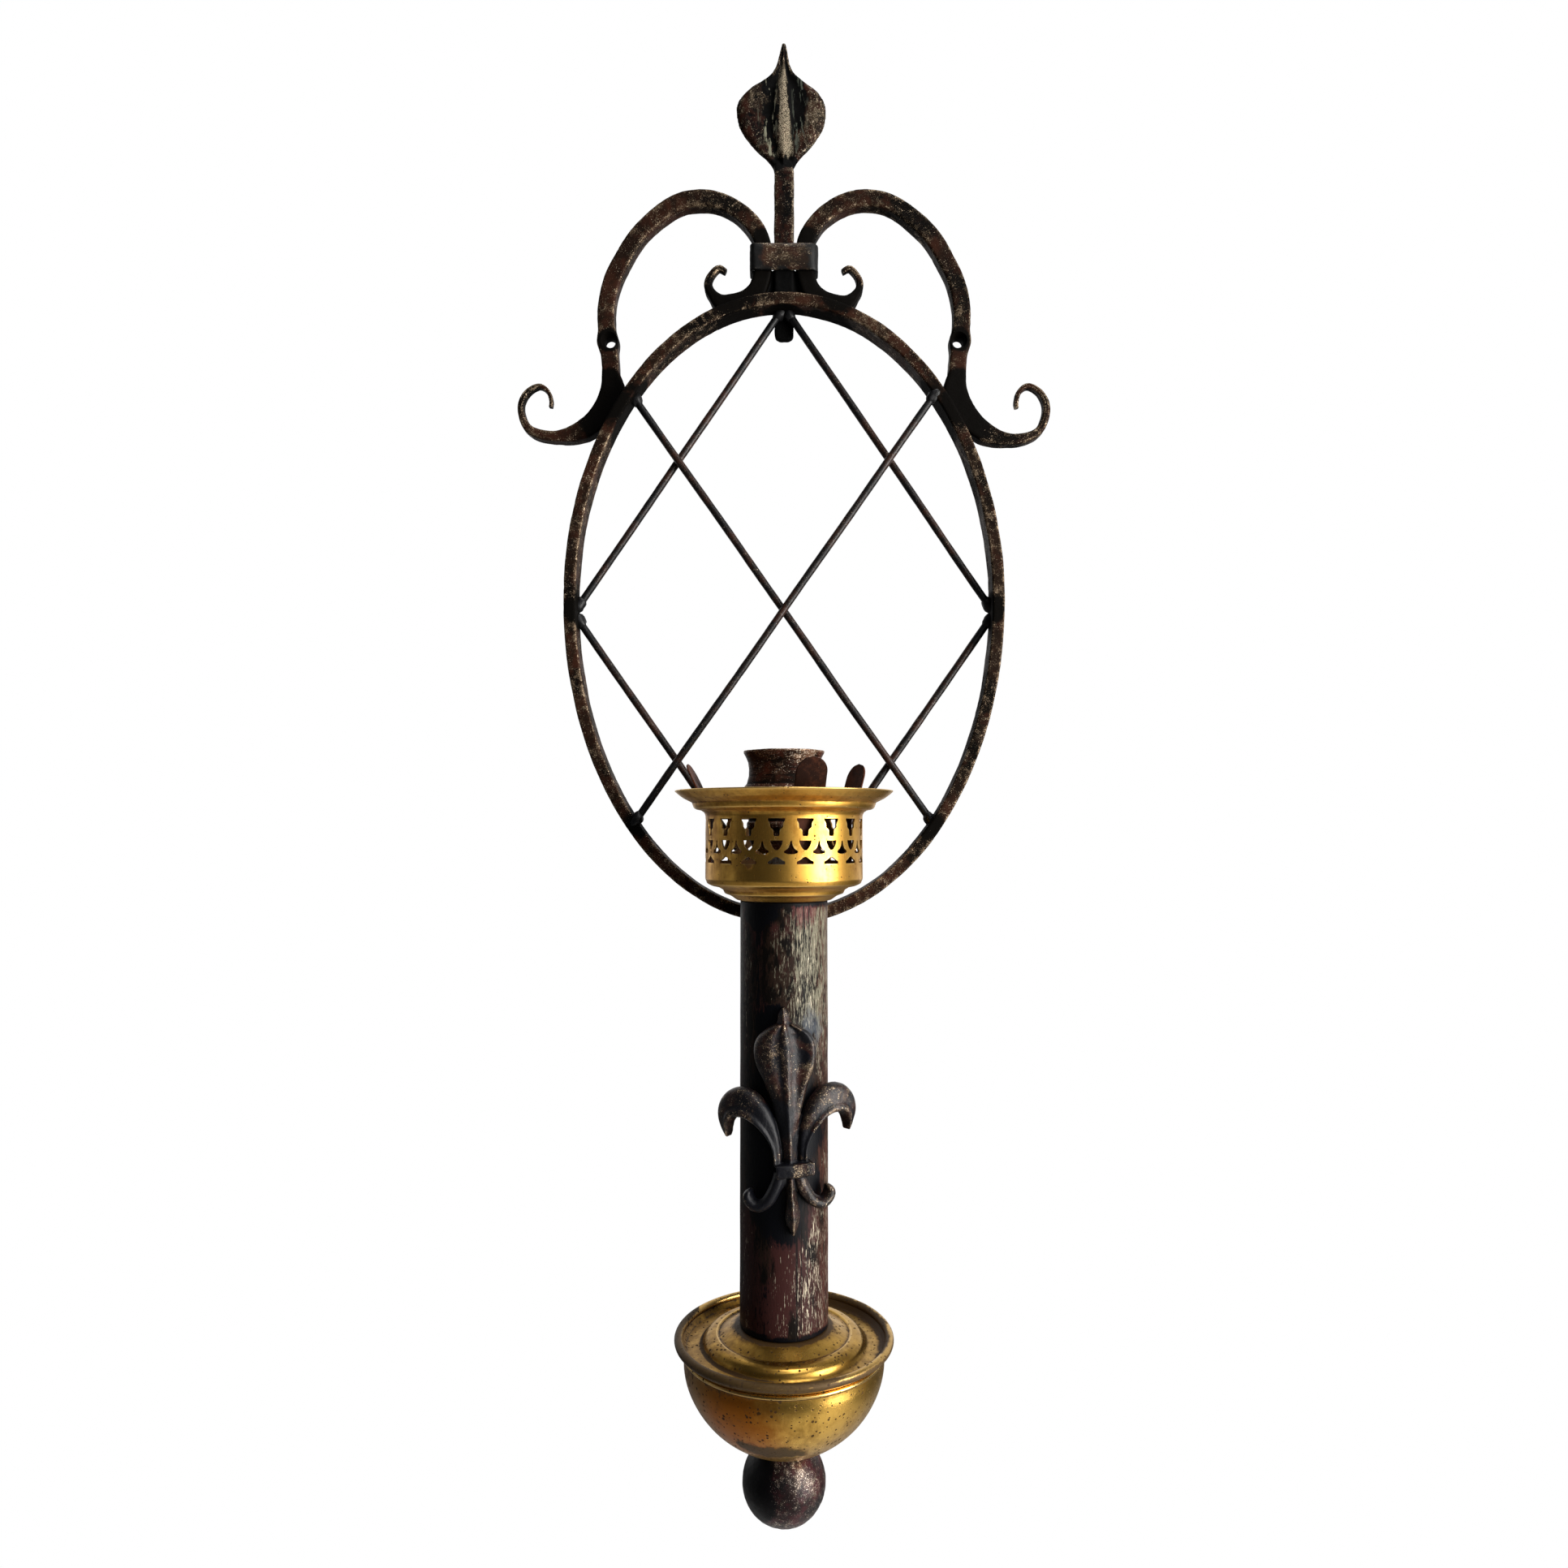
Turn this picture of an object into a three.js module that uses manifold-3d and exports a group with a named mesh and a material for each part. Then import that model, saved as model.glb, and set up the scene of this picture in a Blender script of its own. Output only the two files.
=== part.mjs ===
import * as THREE from "three";
import { mergeVertices } from "three/addons/utils/BufferGeometryUtils.js";
import Module from "manifold-3d";

// Iron and brass wall sconce with an oval lattice back, scrolls, a leaf and one light.
// Millimetres, +X right, +Y into the wall, +Z up. The origin is on the wall plane,
// on the back of the centre stem, level with the middle of the ring bar at its top.

const wasm = await Module();
wasm.setup();

// Clearances
const seat_gap = 0.3;
const turning_gap = 0.3;
const cut_overrun = 2;

// Oval ring, a flat bar bent on edge
const ring_width = 209.4;
const ring_upper_height = 147.6;
const ring_lower_height = 154.2;
const ring_bar_width = 5.8;
const ring_bar_depth = 12.5;
const ring_edge_wear = 0.7;
const ring_behind = 4;

// Lattice of round rods welded inside the ring
const rod_diameter = 3.6;
const lattice_side_drop = 5.6;
const lattice_side_gap = 7.2;
const cross_rod_top_angle = 43.5;
const cross_rod_foot_angle = 45.3;
const weld_bead_width = 7.4;
const weld_bead_length = 5;

// Square bar of the scrolls
const bar_width = 8.4;
const bar_depth = 8;
const bar_edge_wear = 1;
const bar_spread = 1.1;
const bar_tip_depth = 3.4;
const bar_weld_fill = 4;
const scroll_crown = 54.5;
const scroll_contact_x = 85;
const scroll_contact_drop = 40.5;

// Small inner curls and large outer curls, from the collar and from the ring's side
const small_curl_reach = 27.1;
const small_curl_drop = 20.4;
const large_curl_reach = 43;
const large_curl_drop = 23.3;
const right_curl_sag = 1.5;

// Screw holes through the scrolls
const hole_height = -16.8;
const hole_diameter = 5;
const hole_sink_diameter = 8.2;
const hole_sink_depth = 3.4;
const hole_pad_width = 10.6;

// Centre stem with its leaf
const stem_width = 9.6;
const stem_depth = 8;
const stem_wear = 0.8;
const stem_tab_drop = 14.8;
const stem_tab_round = 2.6;
const leaf_base_height = 69;
const leaf_length = 67.4;
const leaf_half_width = 21.9;
const leaf_offset = 1.7;
const leaf_rib_height = 7.6;
const leaf_back = 0.6;

// Collar strap round the three bars
const collar_height = 13.4;
const collar_base = 17.4;
const collar_thickness = 1.8;
const collar_round = 2;
const collar_edge_wear = 0.7;

// Column tube and the block that holds it off the ring
const column_reach = 50;
const tube_diameter = 38.1;
const tube_wall = 1.6;
const tube_length = 181.4;
const tube_above_ring = 13.4;
const standoff_width = 16;
const standoff_height = 18;
const standoff_round = 2;
const plug_thickness = 5;
const plug_lip = 1.2;

// Cord inlet in the back of the tube
const inlet_drop = 52;
const inlet_diameter = 9.5;
const bush_flange = 13.5;
const bush_flange_thickness = 2.2;
const bush_bore = 6.2;
const bush_length = 5.6;

// Fleur-de-lis on the front of the tube
const fleur_drop = 107;
const fleur_offset = 1.7;
const fleur_rise = 63.6;
const fleur_fall = 30.3;
const fleur_reach = 29.6;
const fleur_bend_radius = 38;
const fleur_crest = 5.6;
const fleur_edge = 1.6;
const fleur_band_width = 15.6;
const fleur_band_height = 5.6;
const fleur_band_crest = 6.4;
const fleur_petal_half = 13.2;
const fleur_arm_half = 6.1;
const fleur_curl_reach = 19.2;
const fleur_curl_half = 2.4;
const fleur_foot_half = 3.6;

// Hollow threaded rod on the column's axis, with its nuts and washers
const lamp_rod_diameter = 10;
const lamp_rod_bore = 7;
const nut_across_flats = 14;
const nut_height = 5;
const washer_diameter = 18;
const washer_thickness = 1.6;
const rod_bore_clearance = 0.6;

// Brass gallery that carries the glass chimney
const brass_wall = 0.9;
const gallery_body_radius = 34.4;
const gallery_ledge_width = 5;
const gallery_rim_flare = 8.5;
const gallery_step_radius = 28.6;
const gallery_foot_radius = 20.6;
const gallery_height = 47.6;
const gallery_ledge_height = 41.6;
const gallery_body_top = 36.8;
const gallery_repeats = 18;
const piercing_start = 16.4;
const piercing_row_gap = 1.3;
const vase_width = 7;
const vase_height = 7.2;
const shield_width = 6.5;
const shield_height = 4;
const bell_width = 5.6;
const bell_height = 5.2;
const wedge_width = 6.9;
const wedge_height = 2.8;

// Spring fingers that grip the chimney
const finger_width = 12.4;
const finger_thickness = 0.8;
const finger_height = 16.6;
const finger_lean_angle = 22;
const finger_outset = 1.4;
const first_finger_angle = 16.5;
const second_finger_angle = 122;
const third_finger_angle = 262;
const spring_hub_radius = 13;
const spring_leg_clearance = 1.3;

// Lampholder inside its iron cup
const cup_lip_radius = 17.4;
const cup_waist_radius = 15.4;
const cup_bead_radius = 17.7;
const cup_height = 45;
const cup_top = 65;
const cup_wall = 1.1;
const cup_floor = 1.6;
const insulator_height = 15;
const insulator_pocket = 4;
const shell_wall = 0.6;
const shell_height = 22;
const shell_clearance = 1.2;
const contact_width = 6;
const contact_thickness = 0.6;
const contact_length = 11;
const contact_button = 1.8;
const terminal_screw_radius = 1.9;
const terminal_screw_offset = 8.6;

// Pan, bowl and ball below the column
const pan_rim_radius = 47.1;
const pan_roll_radius = 1.8;
const pan_step_radius = 35;
const pan_groove_radius = 27.6;
const pan_drop = 7.8;
const pan_groove_drop = 3;
const pan_roll_start_angle = 200;
const pan_roll_turn_angle = 290;
const bowl_radius = 43;
const bowl_flat_radius = 11.2;
const bowl_depth = 37.9;
const bowl_collar = 5.4;
const bowl_bead = 0.9;
const bowl_roundness = 1.85;
const ball_radius = 17.85;
const ball_seat_radius = 10;
const ball_thread_depth = 20;
const ball_thread_overlap = 18;

// Facets
const round_facets = 30;
const gallery_facets = 2 * gallery_repeats;
const small_facets = 16;
const screw_facets = 10;
const nut_sides = 6;

// Places worked out from the sizes above
const ring_back = -ring_behind - seat_gap;
const ring_front = ring_back - ring_bar_depth;
const ring_middle = (ring_back + ring_front) / 2;
const ring_waist_z = ring_bar_width / 2 - ring_upper_height;
const ring_bottom_z = ring_waist_z - ring_lower_height;
const column_y = -column_reach;
const tube_radius = tube_diameter / 2;
const tube_top_z = ring_bottom_z + tube_above_ring;
const tube_bottom_z = tube_top_z - tube_length;
const gallery_z = tube_top_z + seat_gap;
const rod_hole_radius = lamp_rod_diameter / 2 + rod_bore_clearance;
const gallery_ledge_radius = gallery_body_radius + gallery_ledge_width;
const gallery_rim_radius = gallery_ledge_radius + gallery_rim_flare;
const finger_root_radius = gallery_body_radius + finger_outset;
const spring_leg_radius = gallery_body_radius - brass_wall - spring_leg_clearance - finger_thickness / 2;
const deg = Math.PI / 180;

// Solids, cuts and joins

function mergedOf(geometry) {
  const bare = geometry.index ? geometry.toNonIndexed() : geometry.clone();
  bare.deleteAttribute("normal");
  bare.deleteAttribute("uv");
  return mergeVertices(bare);
}

function solidOf(geometry) {
  const merged = mergedOf(geometry);
  return new wasm.Manifold(new wasm.Mesh({
    numProp: 3,
    vertProperties: new Float32Array(merged.attributes.position.array),
    triVerts: new Uint32Array(merged.index.array),
  }));
}

function geometryOf(solid) {
  const data = solid.getMesh();
  const geometry = new THREE.BufferGeometry();
  geometry.setAttribute("position", new THREE.Float32BufferAttribute(data.vertProperties, 3));
  geometry.setIndex(Array.from(data.triVerts));
  return geometry;
}

function joined(...geometries) {
  const solids = geometries.map(solidOf);
  return geometryOf(solids.reduce((whole, next) => whole.add(next)));
}

function cut(geometry, ...tools) {
  return geometryOf(tools.reduce((whole, tool) => whole.subtract(solidOf(tool)), solidOf(geometry)));
}

function common(geometry, tool) {
  return geometryOf(solidOf(geometry).intersect(solidOf(tool)));
}

// A front-view outline, x and z, pushed from the wall side at y towards the front
function frontExtrude(shape, y, depth, segments, wear = 0) {
  const geometry = new THREE.ExtrudeGeometry(shape, {
    depth: depth - 2 * wear,
    bevelEnabled: wear > 0,
    bevelThickness: wear,
    bevelSize: wear,
    bevelOffset: -wear,
    bevelSegments: 1,
    curveSegments: segments,
  });
  geometry.translate(0, 0, wear);
  geometry.rotateX(Math.PI / 2);
  geometry.translate(0, y, 0);
  return geometry;
}

// A profile of radius and height turned about the upright axis
function turned(points, facets = round_facets) {
  const outline = points.map(([r, z]) => new THREE.Vector2(r, z));
  const geometry = new THREE.LatheGeometry(outline, facets);
  geometry.rotateX(Math.PI / 2);
  return geometry;
}

// A disc or ring of rectangular section, its foot at z
function washerSolid(outer, inner, z, height, facets = small_facets) {
  return turned([[inner, z], [outer, z], [outer, z + height], [inner, z + height], [inner, z]], facets);
}

function boxSolid(width, depth, height) {
  return new THREE.BoxGeometry(width, depth, height);
}

// A round bar between two points
function barBetween(from, to, diameter, sides) {
  const along = new THREE.Vector3().subVectors(to, from);
  const geometry = new THREE.CylinderGeometry(diameter / 2, diameter / 2, along.length(), sides);
  const upright = new THREE.Vector3(0, 1, 0);
  const turn = new THREE.Quaternion().setFromUnitVectors(upright, along.clone().normalize());
  geometry.applyQuaternion(turn);
  geometry.translate((from.x + to.x) / 2, (from.y + to.y) / 2, (from.z + to.z) / 2);
  return geometry;
}

// Closed skin over a row of rings that all have the same number of points
function loft(rings) {
  const count = rings[0].length;
  const positions = rings.flat().flatMap((p) => [p.x, p.y, p.z]);
  const index = [];
  for (let i = 0; i + 1 < rings.length; i++) {
    for (let j = 0; j < count; j++) {
      const a = i * count + j;
      const b = i * count + ((j + 1) % count);
      index.push(a, b, b + count, a, b + count, a + count);
    }
  }
  const last = (rings.length - 1) * count;
  for (let j = 1; j + 1 < count; j++) {
    index.push(0, j + 1, j);
    index.push(last, last + j, last + j + 1);
  }
  const geometry = new THREE.BufferGeometry();
  geometry.setAttribute("position", new THREE.Float32BufferAttribute(positions, 3));
  geometry.setIndex(index);
  return volumeOf(geometry) < 0 ? flipped(geometry) : geometry;
}

function volumeOf(geometry) {
  const p = geometry.attributes.position;
  const corner = [new THREE.Vector3(), new THREE.Vector3(), new THREE.Vector3()];
  let sum = 0;
  for (let i = 0; i < geometry.index.count; i += 3) {
    corner.forEach((v, k) => v.fromBufferAttribute(p, geometry.index.getX(i + k)));
    sum += corner[0].dot(corner[1].clone().cross(corner[2]));
  }
  return sum;
}

function flipped(geometry) {
  const order = Array.from(geometry.index.array);
  for (let i = 0; i < order.length; i += 3) {
    [order[i], order[i + 1]] = [order[i + 1], order[i]];
  }
  geometry.setIndex(order);
  return geometry;
}

// The value at a share of the way along a table of share and value pairs
function along(table, share) {
  const next = table.findIndex(([s]) => s >= share);
  if (next <= 0) {
    return next === 0 ? table[0][1] : table[table.length - 1][1];
  }
  const [s0, v0] = table[next - 1];
  const [s1, v1] = table[next];
  return v0 + ((v1 - v0) * (share - s0)) / (s1 - s0);
}

// Finishes

function finish(colour, roughness, metalness) {
  return () => new THREE.MeshStandardMaterial({ color: colour, roughness, metalness });
}

const iron = finish(0x3a2a22, 0.55, 0.85);
const tube_iron = finish(0x4a443c, 0.5, 0.85);
const brass = finish(0xa9803a, 0.38, 1);
const spring_iron = finish(0x3c241e, 0.6, 0.7);
const bright_brass = finish(0xc29a4a, 0.35, 1);
const plated_steel = finish(0x8d8a84, 0.4, 1);
const porcelain = finish(0xe6dfd0, 0.35, 0);
const rubber = finish(0x1c1a18, 0.8, 0);

const sconce = new THREE.Group();

function place(name, geometry, material, parent = sconce) {
  const piece = new THREE.Mesh(geometry, material());
  piece.name = name;
  parent.add(piece);
  return piece;
}

// Oval ring, a little longer below its waist than above

const ring_segments = 60;

// A point of the oval that lies inset from the ring's outer edge
function ringPoint(angle, inset) {
  const half_x = ring_width / 2 - inset;
  const half_z = (Math.sin(angle) > 0 ? ring_upper_height : ring_lower_height) - inset;
  return new THREE.Vector2(half_x * Math.cos(angle), ring_waist_z + half_z * Math.sin(angle));
}

function ovalPoints(inset) {
  const points = [];
  for (let i = 0; i < ring_segments; i++) {
    points.push(ringPoint((2 * Math.PI * i) / ring_segments, inset));
  }
  return points;
}

// Everything inside the oval, for fitting neighbours to the ring
function ovalRoom(inset, y, depth) {
  return frontExtrude(new THREE.Shape(ovalPoints(inset)), y, depth, 1);
}

function ovalRing() {
  const outline = new THREE.Shape(ovalPoints(0));
  outline.holes.push(new THREE.Path(ovalPoints(ring_bar_width)));
  return frontExtrude(outline, ring_back, ring_bar_depth, 1, ring_edge_wear);
}

place("oval_ring", ovalRing(), iron);

// Lattice rods, in three layers that just clear each other

function latticeRod(from, to, layer) {
  const y = ring_middle + layer * (rod_diameter + seat_gap);
  const start = new THREE.Vector3(from.x, y, from.y);
  const end = new THREE.Vector3(to.x, y, to.y);
  const rod = barBetween(start, end, rod_diameter, 10);
  const lean = Math.atan2(to.y - from.y, to.x - from.x);
  const beads = [start, end].map((at) => {
    const bead = new THREE.SphereGeometry(1, 8, 5);
    bead.scale(weld_bead_length, (rod_diameter + seat_gap) / 2, weld_bead_width / 2);
    bead.rotateY(-lean);
    bead.translate(at.x, at.y, at.z);
    return bead;
  });
  return common(joined(rod, ...beads), ovalRoom(ring_bar_width + seat_gap, 0, column_reach));
}

// Keeps the part of a rod on one side of a neighbour that it meets
function trimmed(geometry, keep_x, keep_z) {
  const size = ring_upper_height + ring_lower_height;
  const wall = boxSolid(size, column_reach * 2, size);
  const reach = size / 2 + seat_gap / 2;
  wall.translate(keep_x * reach, 0, keep_z === 0 ? ring_waist_z : lattice_side_z + keep_z * reach);
  return common(geometry, wall);
}

const lattice_side_z = ring_waist_z - lattice_side_drop;

for (const [side_name, side] of [["left", -1], ["right", 1]]) {
  for (const [end_name, end] of [["top", 1], ["bottom", -1]]) {
    const apex = ringPoint((end * Math.PI) / 2, ring_bar_width);
    const corner_z = lattice_side_z + (end * lattice_side_gap) / 2;
    const corner = new THREE.Vector2(side * (ring_width / 2 - ring_bar_width), corner_z);
    const rod = trimmed(trimmed(latticeRod(apex, corner, 1), side, 0), 0, end);
    place(`lattice_rod_${end_name}_${side_name}`, rod, iron);
  }
  const up = ringPoint(cross_rod_top_angle * deg, ring_bar_width);
  const down = ringPoint(-cross_rod_foot_angle * deg, ring_bar_width);
  up.x *= side;
  down.x *= -side;
  const layer = side > 0 ? -1 : 0;
  place(`lattice_rod_cross_${side_name}`, latticeRod(up, down, layer), iron);
}

// Scrolls, each one bar drawn out at both ends, arched over, and curled

const bar_offset = stem_width / 2 + bar_spread + bar_width / 2;
const collar_middle = collar_base + collar_height / 2;

// Shares of the small curl's reach and drop, from its tip to the collar
const small_curl_shares = [
  [0.683, 0.27], [0.812, 0.19], [0.948, 0.373], [1, 0.587], [0.941, 0.821], [0.771, 1],
  [0.55, 1], [0.317, 0.91], [0.133, 0.697], [0.03, 0.353], [0, 0],
];
// Shares of the way out and up, from the collar over the arch to the ring's side
const arch_shares = [
  [0.004, 0.76], [0.043, 0.833], [0.113, 0.902], [0.212, 0.959], [0.31, 0.991], [0.398, 1],
  [0.512, 0.989], [0.608, 0.955], [0.71, 0.895], [0.801, 0.826], [0.868, 0.754], [0.926, 0.668],
  [0.972, 0.595], [1.005, 0.513], [1.022, 0.432], [1.024, 0.359], [1.016, 0.284], [1.008, 0.218],
  [0.997, 0.148], [0.993, 0.076],
];
// Shares of the large curl's reach and drop, from the ring's side to the tip
const large_curl_shares = [
  [0, 0], [0.069, 0.313], [0.184, 0.614], [0.31, 0.803], [0.458, 0.944], [0.613, 1], [0.804, 0.944],
  [0.931, 0.79], [1, 0.5], [0.998, 0.25], [0.925, 0.03], [0.8, -0.085], [0.7, 0.03],
  [0.665, 0.23], [0.672, 0.36],
];
// Share along each stretch, with the bar's width there as a share of its full width
const small_curl_width_shares = [[0, 0.3], [0.2, 0.38], [0.5, 0.56], [0.7, 0.72], [1, 1]];
const large_curl_width_shares = [[0, 1], [0.08, 0.9], [0.25, 0.7], [0.5, 0.44], [0.75, 0.28], [1, 0.24]];
// Where weld metal fills out the side towards the ring, as shares of the fill
const small_curl_fill_shares = [[0, 0], [0.42, 0], [0.52, 0.8], [0.7, 1], [0.85, 0.3], [1, 0]];
const large_curl_fill_shares = [[0, 0.9], [0.1, 1], [0.22, 0.8], [0.34, 0], [1, 0]];

function spread(shares, x, z, reach, rise) {
  return shares.map(([sx, sz]) => new THREE.Vector2(x + sx * reach, z + sz * rise));
}

// Bar section with worn corners: how far it reaches outwards, inwards and deep
function barSection(outer, inner, depth) {
  const worn = Math.min(bar_edge_wear, (outer + inner) / 4, depth / 4);
  const d = depth / 2;
  return [
    [outer, d - worn], [outer - worn, d], [worn - inner, d], [-inner, d - worn],
    [-inner, worn - d], [worn - inner, -d], [outer - worn, -d], [outer, worn - d],
  ];
}

// The bar's half width, its fill and its depth at a share of the way along one stretch
function smallCurlSize(share) {
  const half = (along(small_curl_width_shares, share) * bar_width) / 2;
  const fill = along(small_curl_fill_shares, share) * bar_weld_fill;
  const depth = bar_tip_depth + (bar_depth - bar_tip_depth) * Math.min(1, share * 2);
  return { outer: half + fill, inner: half, depth };
}

function archSize(x, z) {
  const near = Math.max(0, 1 - Math.abs(z - hole_height) / hole_diameter);
  const half = bar_width / 2 + (near * (hole_pad_width - bar_width)) / 2;
  const down = Math.max(0, 1 - (z + scroll_contact_drop) / bar_width);
  const fill = down * along(large_curl_fill_shares, 0) * bar_weld_fill;
  return { outer: half, inner: half + fill, depth: bar_depth };
}

function largeCurlSize(share) {
  const half = (along(large_curl_width_shares, share) * bar_width) / 2;
  const fill = along(large_curl_fill_shares, share) * bar_weld_fill;
  const depth = bar_depth + (bar_tip_depth - bar_depth) * Math.max(0, share * 1.5 - 0.5);
  return { outer: half, inner: half + fill, depth };
}

function scroll(side) {
  const waist_z = -scroll_contact_drop;
  const small = spread(small_curl_shares, bar_offset, collar_middle, small_curl_reach, -small_curl_drop);
  const span = scroll_contact_x - bar_offset;
  const arch = spread(arch_shares, bar_offset, waist_z, span, scroll_crown - waist_z);
  const large_drop = large_curl_drop + (side > 0 ? right_curl_sag : 0);
  const large = spread(large_curl_shares, scroll_contact_x, waist_z, large_curl_reach, -large_drop);
  const points = [...small, ...arch, ...large];
  const curve = new THREE.SplineCurve(points);
  const last = points.length - 1;
  const steps = 64;
  const small_last = small.length - 1;
  const large_first = small.length + arch.length;
  const rings = [];
  for (let i = 0; i <= steps; i++) {
    const t = i / steps;
    const at = curve.getPoint(t);
    const ahead = curve.getTangent(t);
    const where = t * last;
    let size = archSize(at.x, at.y);
    if (where <= small_last) {
      size = smallCurlSize(where / small_last);
    } else if (where >= large_first) {
      size = largeCurlSize((where - large_first) / (last - large_first));
    }
    rings.push(barSection(size.outer, size.inner, size.depth).map(([across, deep]) => new THREE.Vector3(
      side * (at.x - ahead.y * across),
      -bar_depth / 2 + deep,
      at.y + ahead.x * across,
    )));
  }
  const bore = hole_diameter / 2;
  const mouth_radius = hole_sink_diameter / 2;
  const through = new THREE.CylinderGeometry(bore, bore, bar_depth + 2 * cut_overrun, small_facets);
  through.translate(side * scroll_contact_x, -bar_depth / 2, hole_height);
  const sink = new THREE.CylinderGeometry(bore, mouth_radius, hole_sink_depth, small_facets);
  sink.translate(side * scroll_contact_x, -bar_depth + hole_sink_depth / 2, hole_height);
  const mouth = new THREE.CylinderGeometry(mouth_radius, mouth_radius, cut_overrun, small_facets);
  mouth.translate(side * scroll_contact_x, -bar_depth - cut_overrun / 2, hole_height);
  const ring_room = ovalRoom(-seat_gap, ring_back + seat_gap, column_reach);
  return cut(loft(rings), through, joined(sink, mouth), ring_room);
}

place("scroll_bar_left", scroll(-1), iron);
place("scroll_bar_right", scroll(1), iron);

// Centre stem and leaf, one forging

// Share of the leaf's length and share of its half width
const leaf_shares = [
  [0, 0.21], [0.04, 0.24], [0.1, 0.36], [0.16, 0.55], [0.22, 0.7], [0.28, 0.84], [0.34, 0.935],
  [0.4, 0.985], [0.46, 1], [0.52, 0.985], [0.58, 0.905], [0.64, 0.75], [0.7, 0.5], [0.76, 0.27],
  [0.82, 0.165], [0.88, 0.12], [0.94, 0.078], [1, 0.02],
];
// Across the leaf: share of the half width and share of the rib's height, hollow beside the rib
const leaf_section_shares = [
  [1, 0.3], [0.82, 0.52], [0.5, 0.46], [0.2, 0.6], [0.07, 0.98], [-0.07, 0.98],
  [-0.2, 0.6], [-0.5, 0.46], [-0.82, 0.52], [-1, 0.3],
];
// How the rib's height dies away along the leaf
const leaf_rib_shares = [[0, 1], [0.2, 1], [0.6, 0.86], [0.8, 0.6], [1, 0.3]];

function leafFinial() {
  const rings = leaf_shares.map(([share, half_share]) => {
    const z = leaf_base_height + share * leaf_length;
    const half = half_share * leaf_half_width;
    const rib = along(leaf_rib_shares, share) * leaf_rib_height;
    const middle = -leaf_offset * half_share;
    const front = leaf_section_shares.map(([across, high]) => new THREE.Vector3(
      middle + across * half, -leaf_back - high * rib, z));
    const back = [-0.9, 0.9].map((across) => new THREE.Vector3(middle + across * half, -leaf_back, z));
    return [...front, ...back];
  });
  const half = stem_width / 2;
  const bottom = -stem_tab_drop;
  const outline = new THREE.Shape();
  outline.moveTo(half, leaf_base_height + stem_width / 2);
  outline.lineTo(-half, leaf_base_height + stem_width / 2);
  outline.lineTo(-half, bottom + stem_tab_round);
  outline.quadraticCurveTo(-half, bottom, stem_tab_round - half, bottom);
  outline.lineTo(half - stem_tab_round, bottom);
  outline.quadraticCurveTo(half, bottom, half, bottom + stem_tab_round);
  const stem = frontExtrude(outline, 0, stem_depth, 4, stem_wear);
  const notch_top = ring_bar_width / 2 + seat_gap;
  const notch_height = notch_top + stem_tab_drop + cut_overrun;
  const notch = boxSolid(stem_width + 2 * cut_overrun, stem_depth, notch_height);
  notch.translate(0, -ring_behind - stem_depth / 2, notch_top - notch_height / 2);
  return cut(joined(loft(rings), stem), notch);
}

place("leaf_finial", leafFinial(), iron);

// Collar, a strap folded over the front of the three bars with its legs back to the wall

function collarBand() {
  const inner = bar_offset + bar_width / 2 + seat_gap + turning_gap;
  const outer = inner + collar_thickness;
  const front = bar_depth + seat_gap + collar_thickness;
  const outline = new THREE.Shape();
  outline.moveTo(outer, 0);
  outline.lineTo(outer, front - collar_round);
  outline.quadraticCurveTo(outer, front, outer - collar_round, front);
  outline.lineTo(collar_round - outer, front);
  outline.quadraticCurveTo(-outer, front, -outer, front - collar_round);
  outline.lineTo(-outer, 0);
  outline.lineTo(-inner, 0);
  outline.lineTo(-inner, front - collar_thickness);
  outline.lineTo(inner, front - collar_thickness);
  outline.lineTo(inner, 0);
  const strap = new THREE.ExtrudeGeometry(outline, {
    depth: collar_height - 2 * collar_edge_wear,
    bevelEnabled: true,
    bevelThickness: collar_edge_wear,
    bevelSize: collar_edge_wear / 2,
    bevelOffset: -collar_edge_wear / 2,
    bevelSegments: 1,
    curveSegments: 4,
  });
  strap.translate(0, 0, collar_edge_wear);
  strap.scale(1, -1, 1);
  const placed = flipped(mergedOf(strap));
  placed.translate(0, 0, collar_base);
  return placed;
}

place("collar_band", collarBand(), iron);

// Column: tube, standoff block, end plugs and cord inlet

const column = new THREE.Group();
column.position.set(0, column_y, 0);
sconce.add(column);

function columnTube() {
  const inner = tube_radius - tube_wall;
  const tube = washerSolid(tube_radius, inner, tube_bottom_z, tube_length, round_facets);
  const inlet = new THREE.CylinderGeometry(inlet_diameter / 2, inlet_diameter / 2, tube_radius, small_facets);
  inlet.translate(0, tube_radius, tube_top_z - inlet_drop);
  return cut(tube, inlet);
}

place("column_tube", columnTube(), tube_iron, column);

// The block's front is hollowed to the tube and its back is flat on the ring
function tubeStandoff() {
  const outline = new THREE.Shape();
  const half = standoff_width / 2;
  const low = ring_bottom_z + ring_bar_width / 2 - standoff_height / 2;
  const high = low + standoff_height;
  outline.moveTo(half - standoff_round, low);
  outline.quadraticCurveTo(half, low, half, low + standoff_round);
  outline.lineTo(half, high - standoff_round);
  outline.quadraticCurveTo(half, high, half - standoff_round, high);
  outline.lineTo(standoff_round - half, high);
  outline.quadraticCurveTo(-half, high, -half, high - standoff_round);
  outline.lineTo(-half, low + standoff_round);
  outline.quadraticCurveTo(-half, low, standoff_round - half, low);
  const back = ring_front - seat_gap;
  const block = frontExtrude(outline, back, column_reach + back, 4);
  const hollow = tube_radius + seat_gap;
  const tube_space = turned([[0, low - cut_overrun], [hollow, low - cut_overrun],
    [hollow, high + cut_overrun], [0, high + cut_overrun]]);
  tube_space.translate(0, column_y, 0);
  return cut(block, tube_space);
}

place("tube_standoff", tubeStandoff(), iron);

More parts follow.
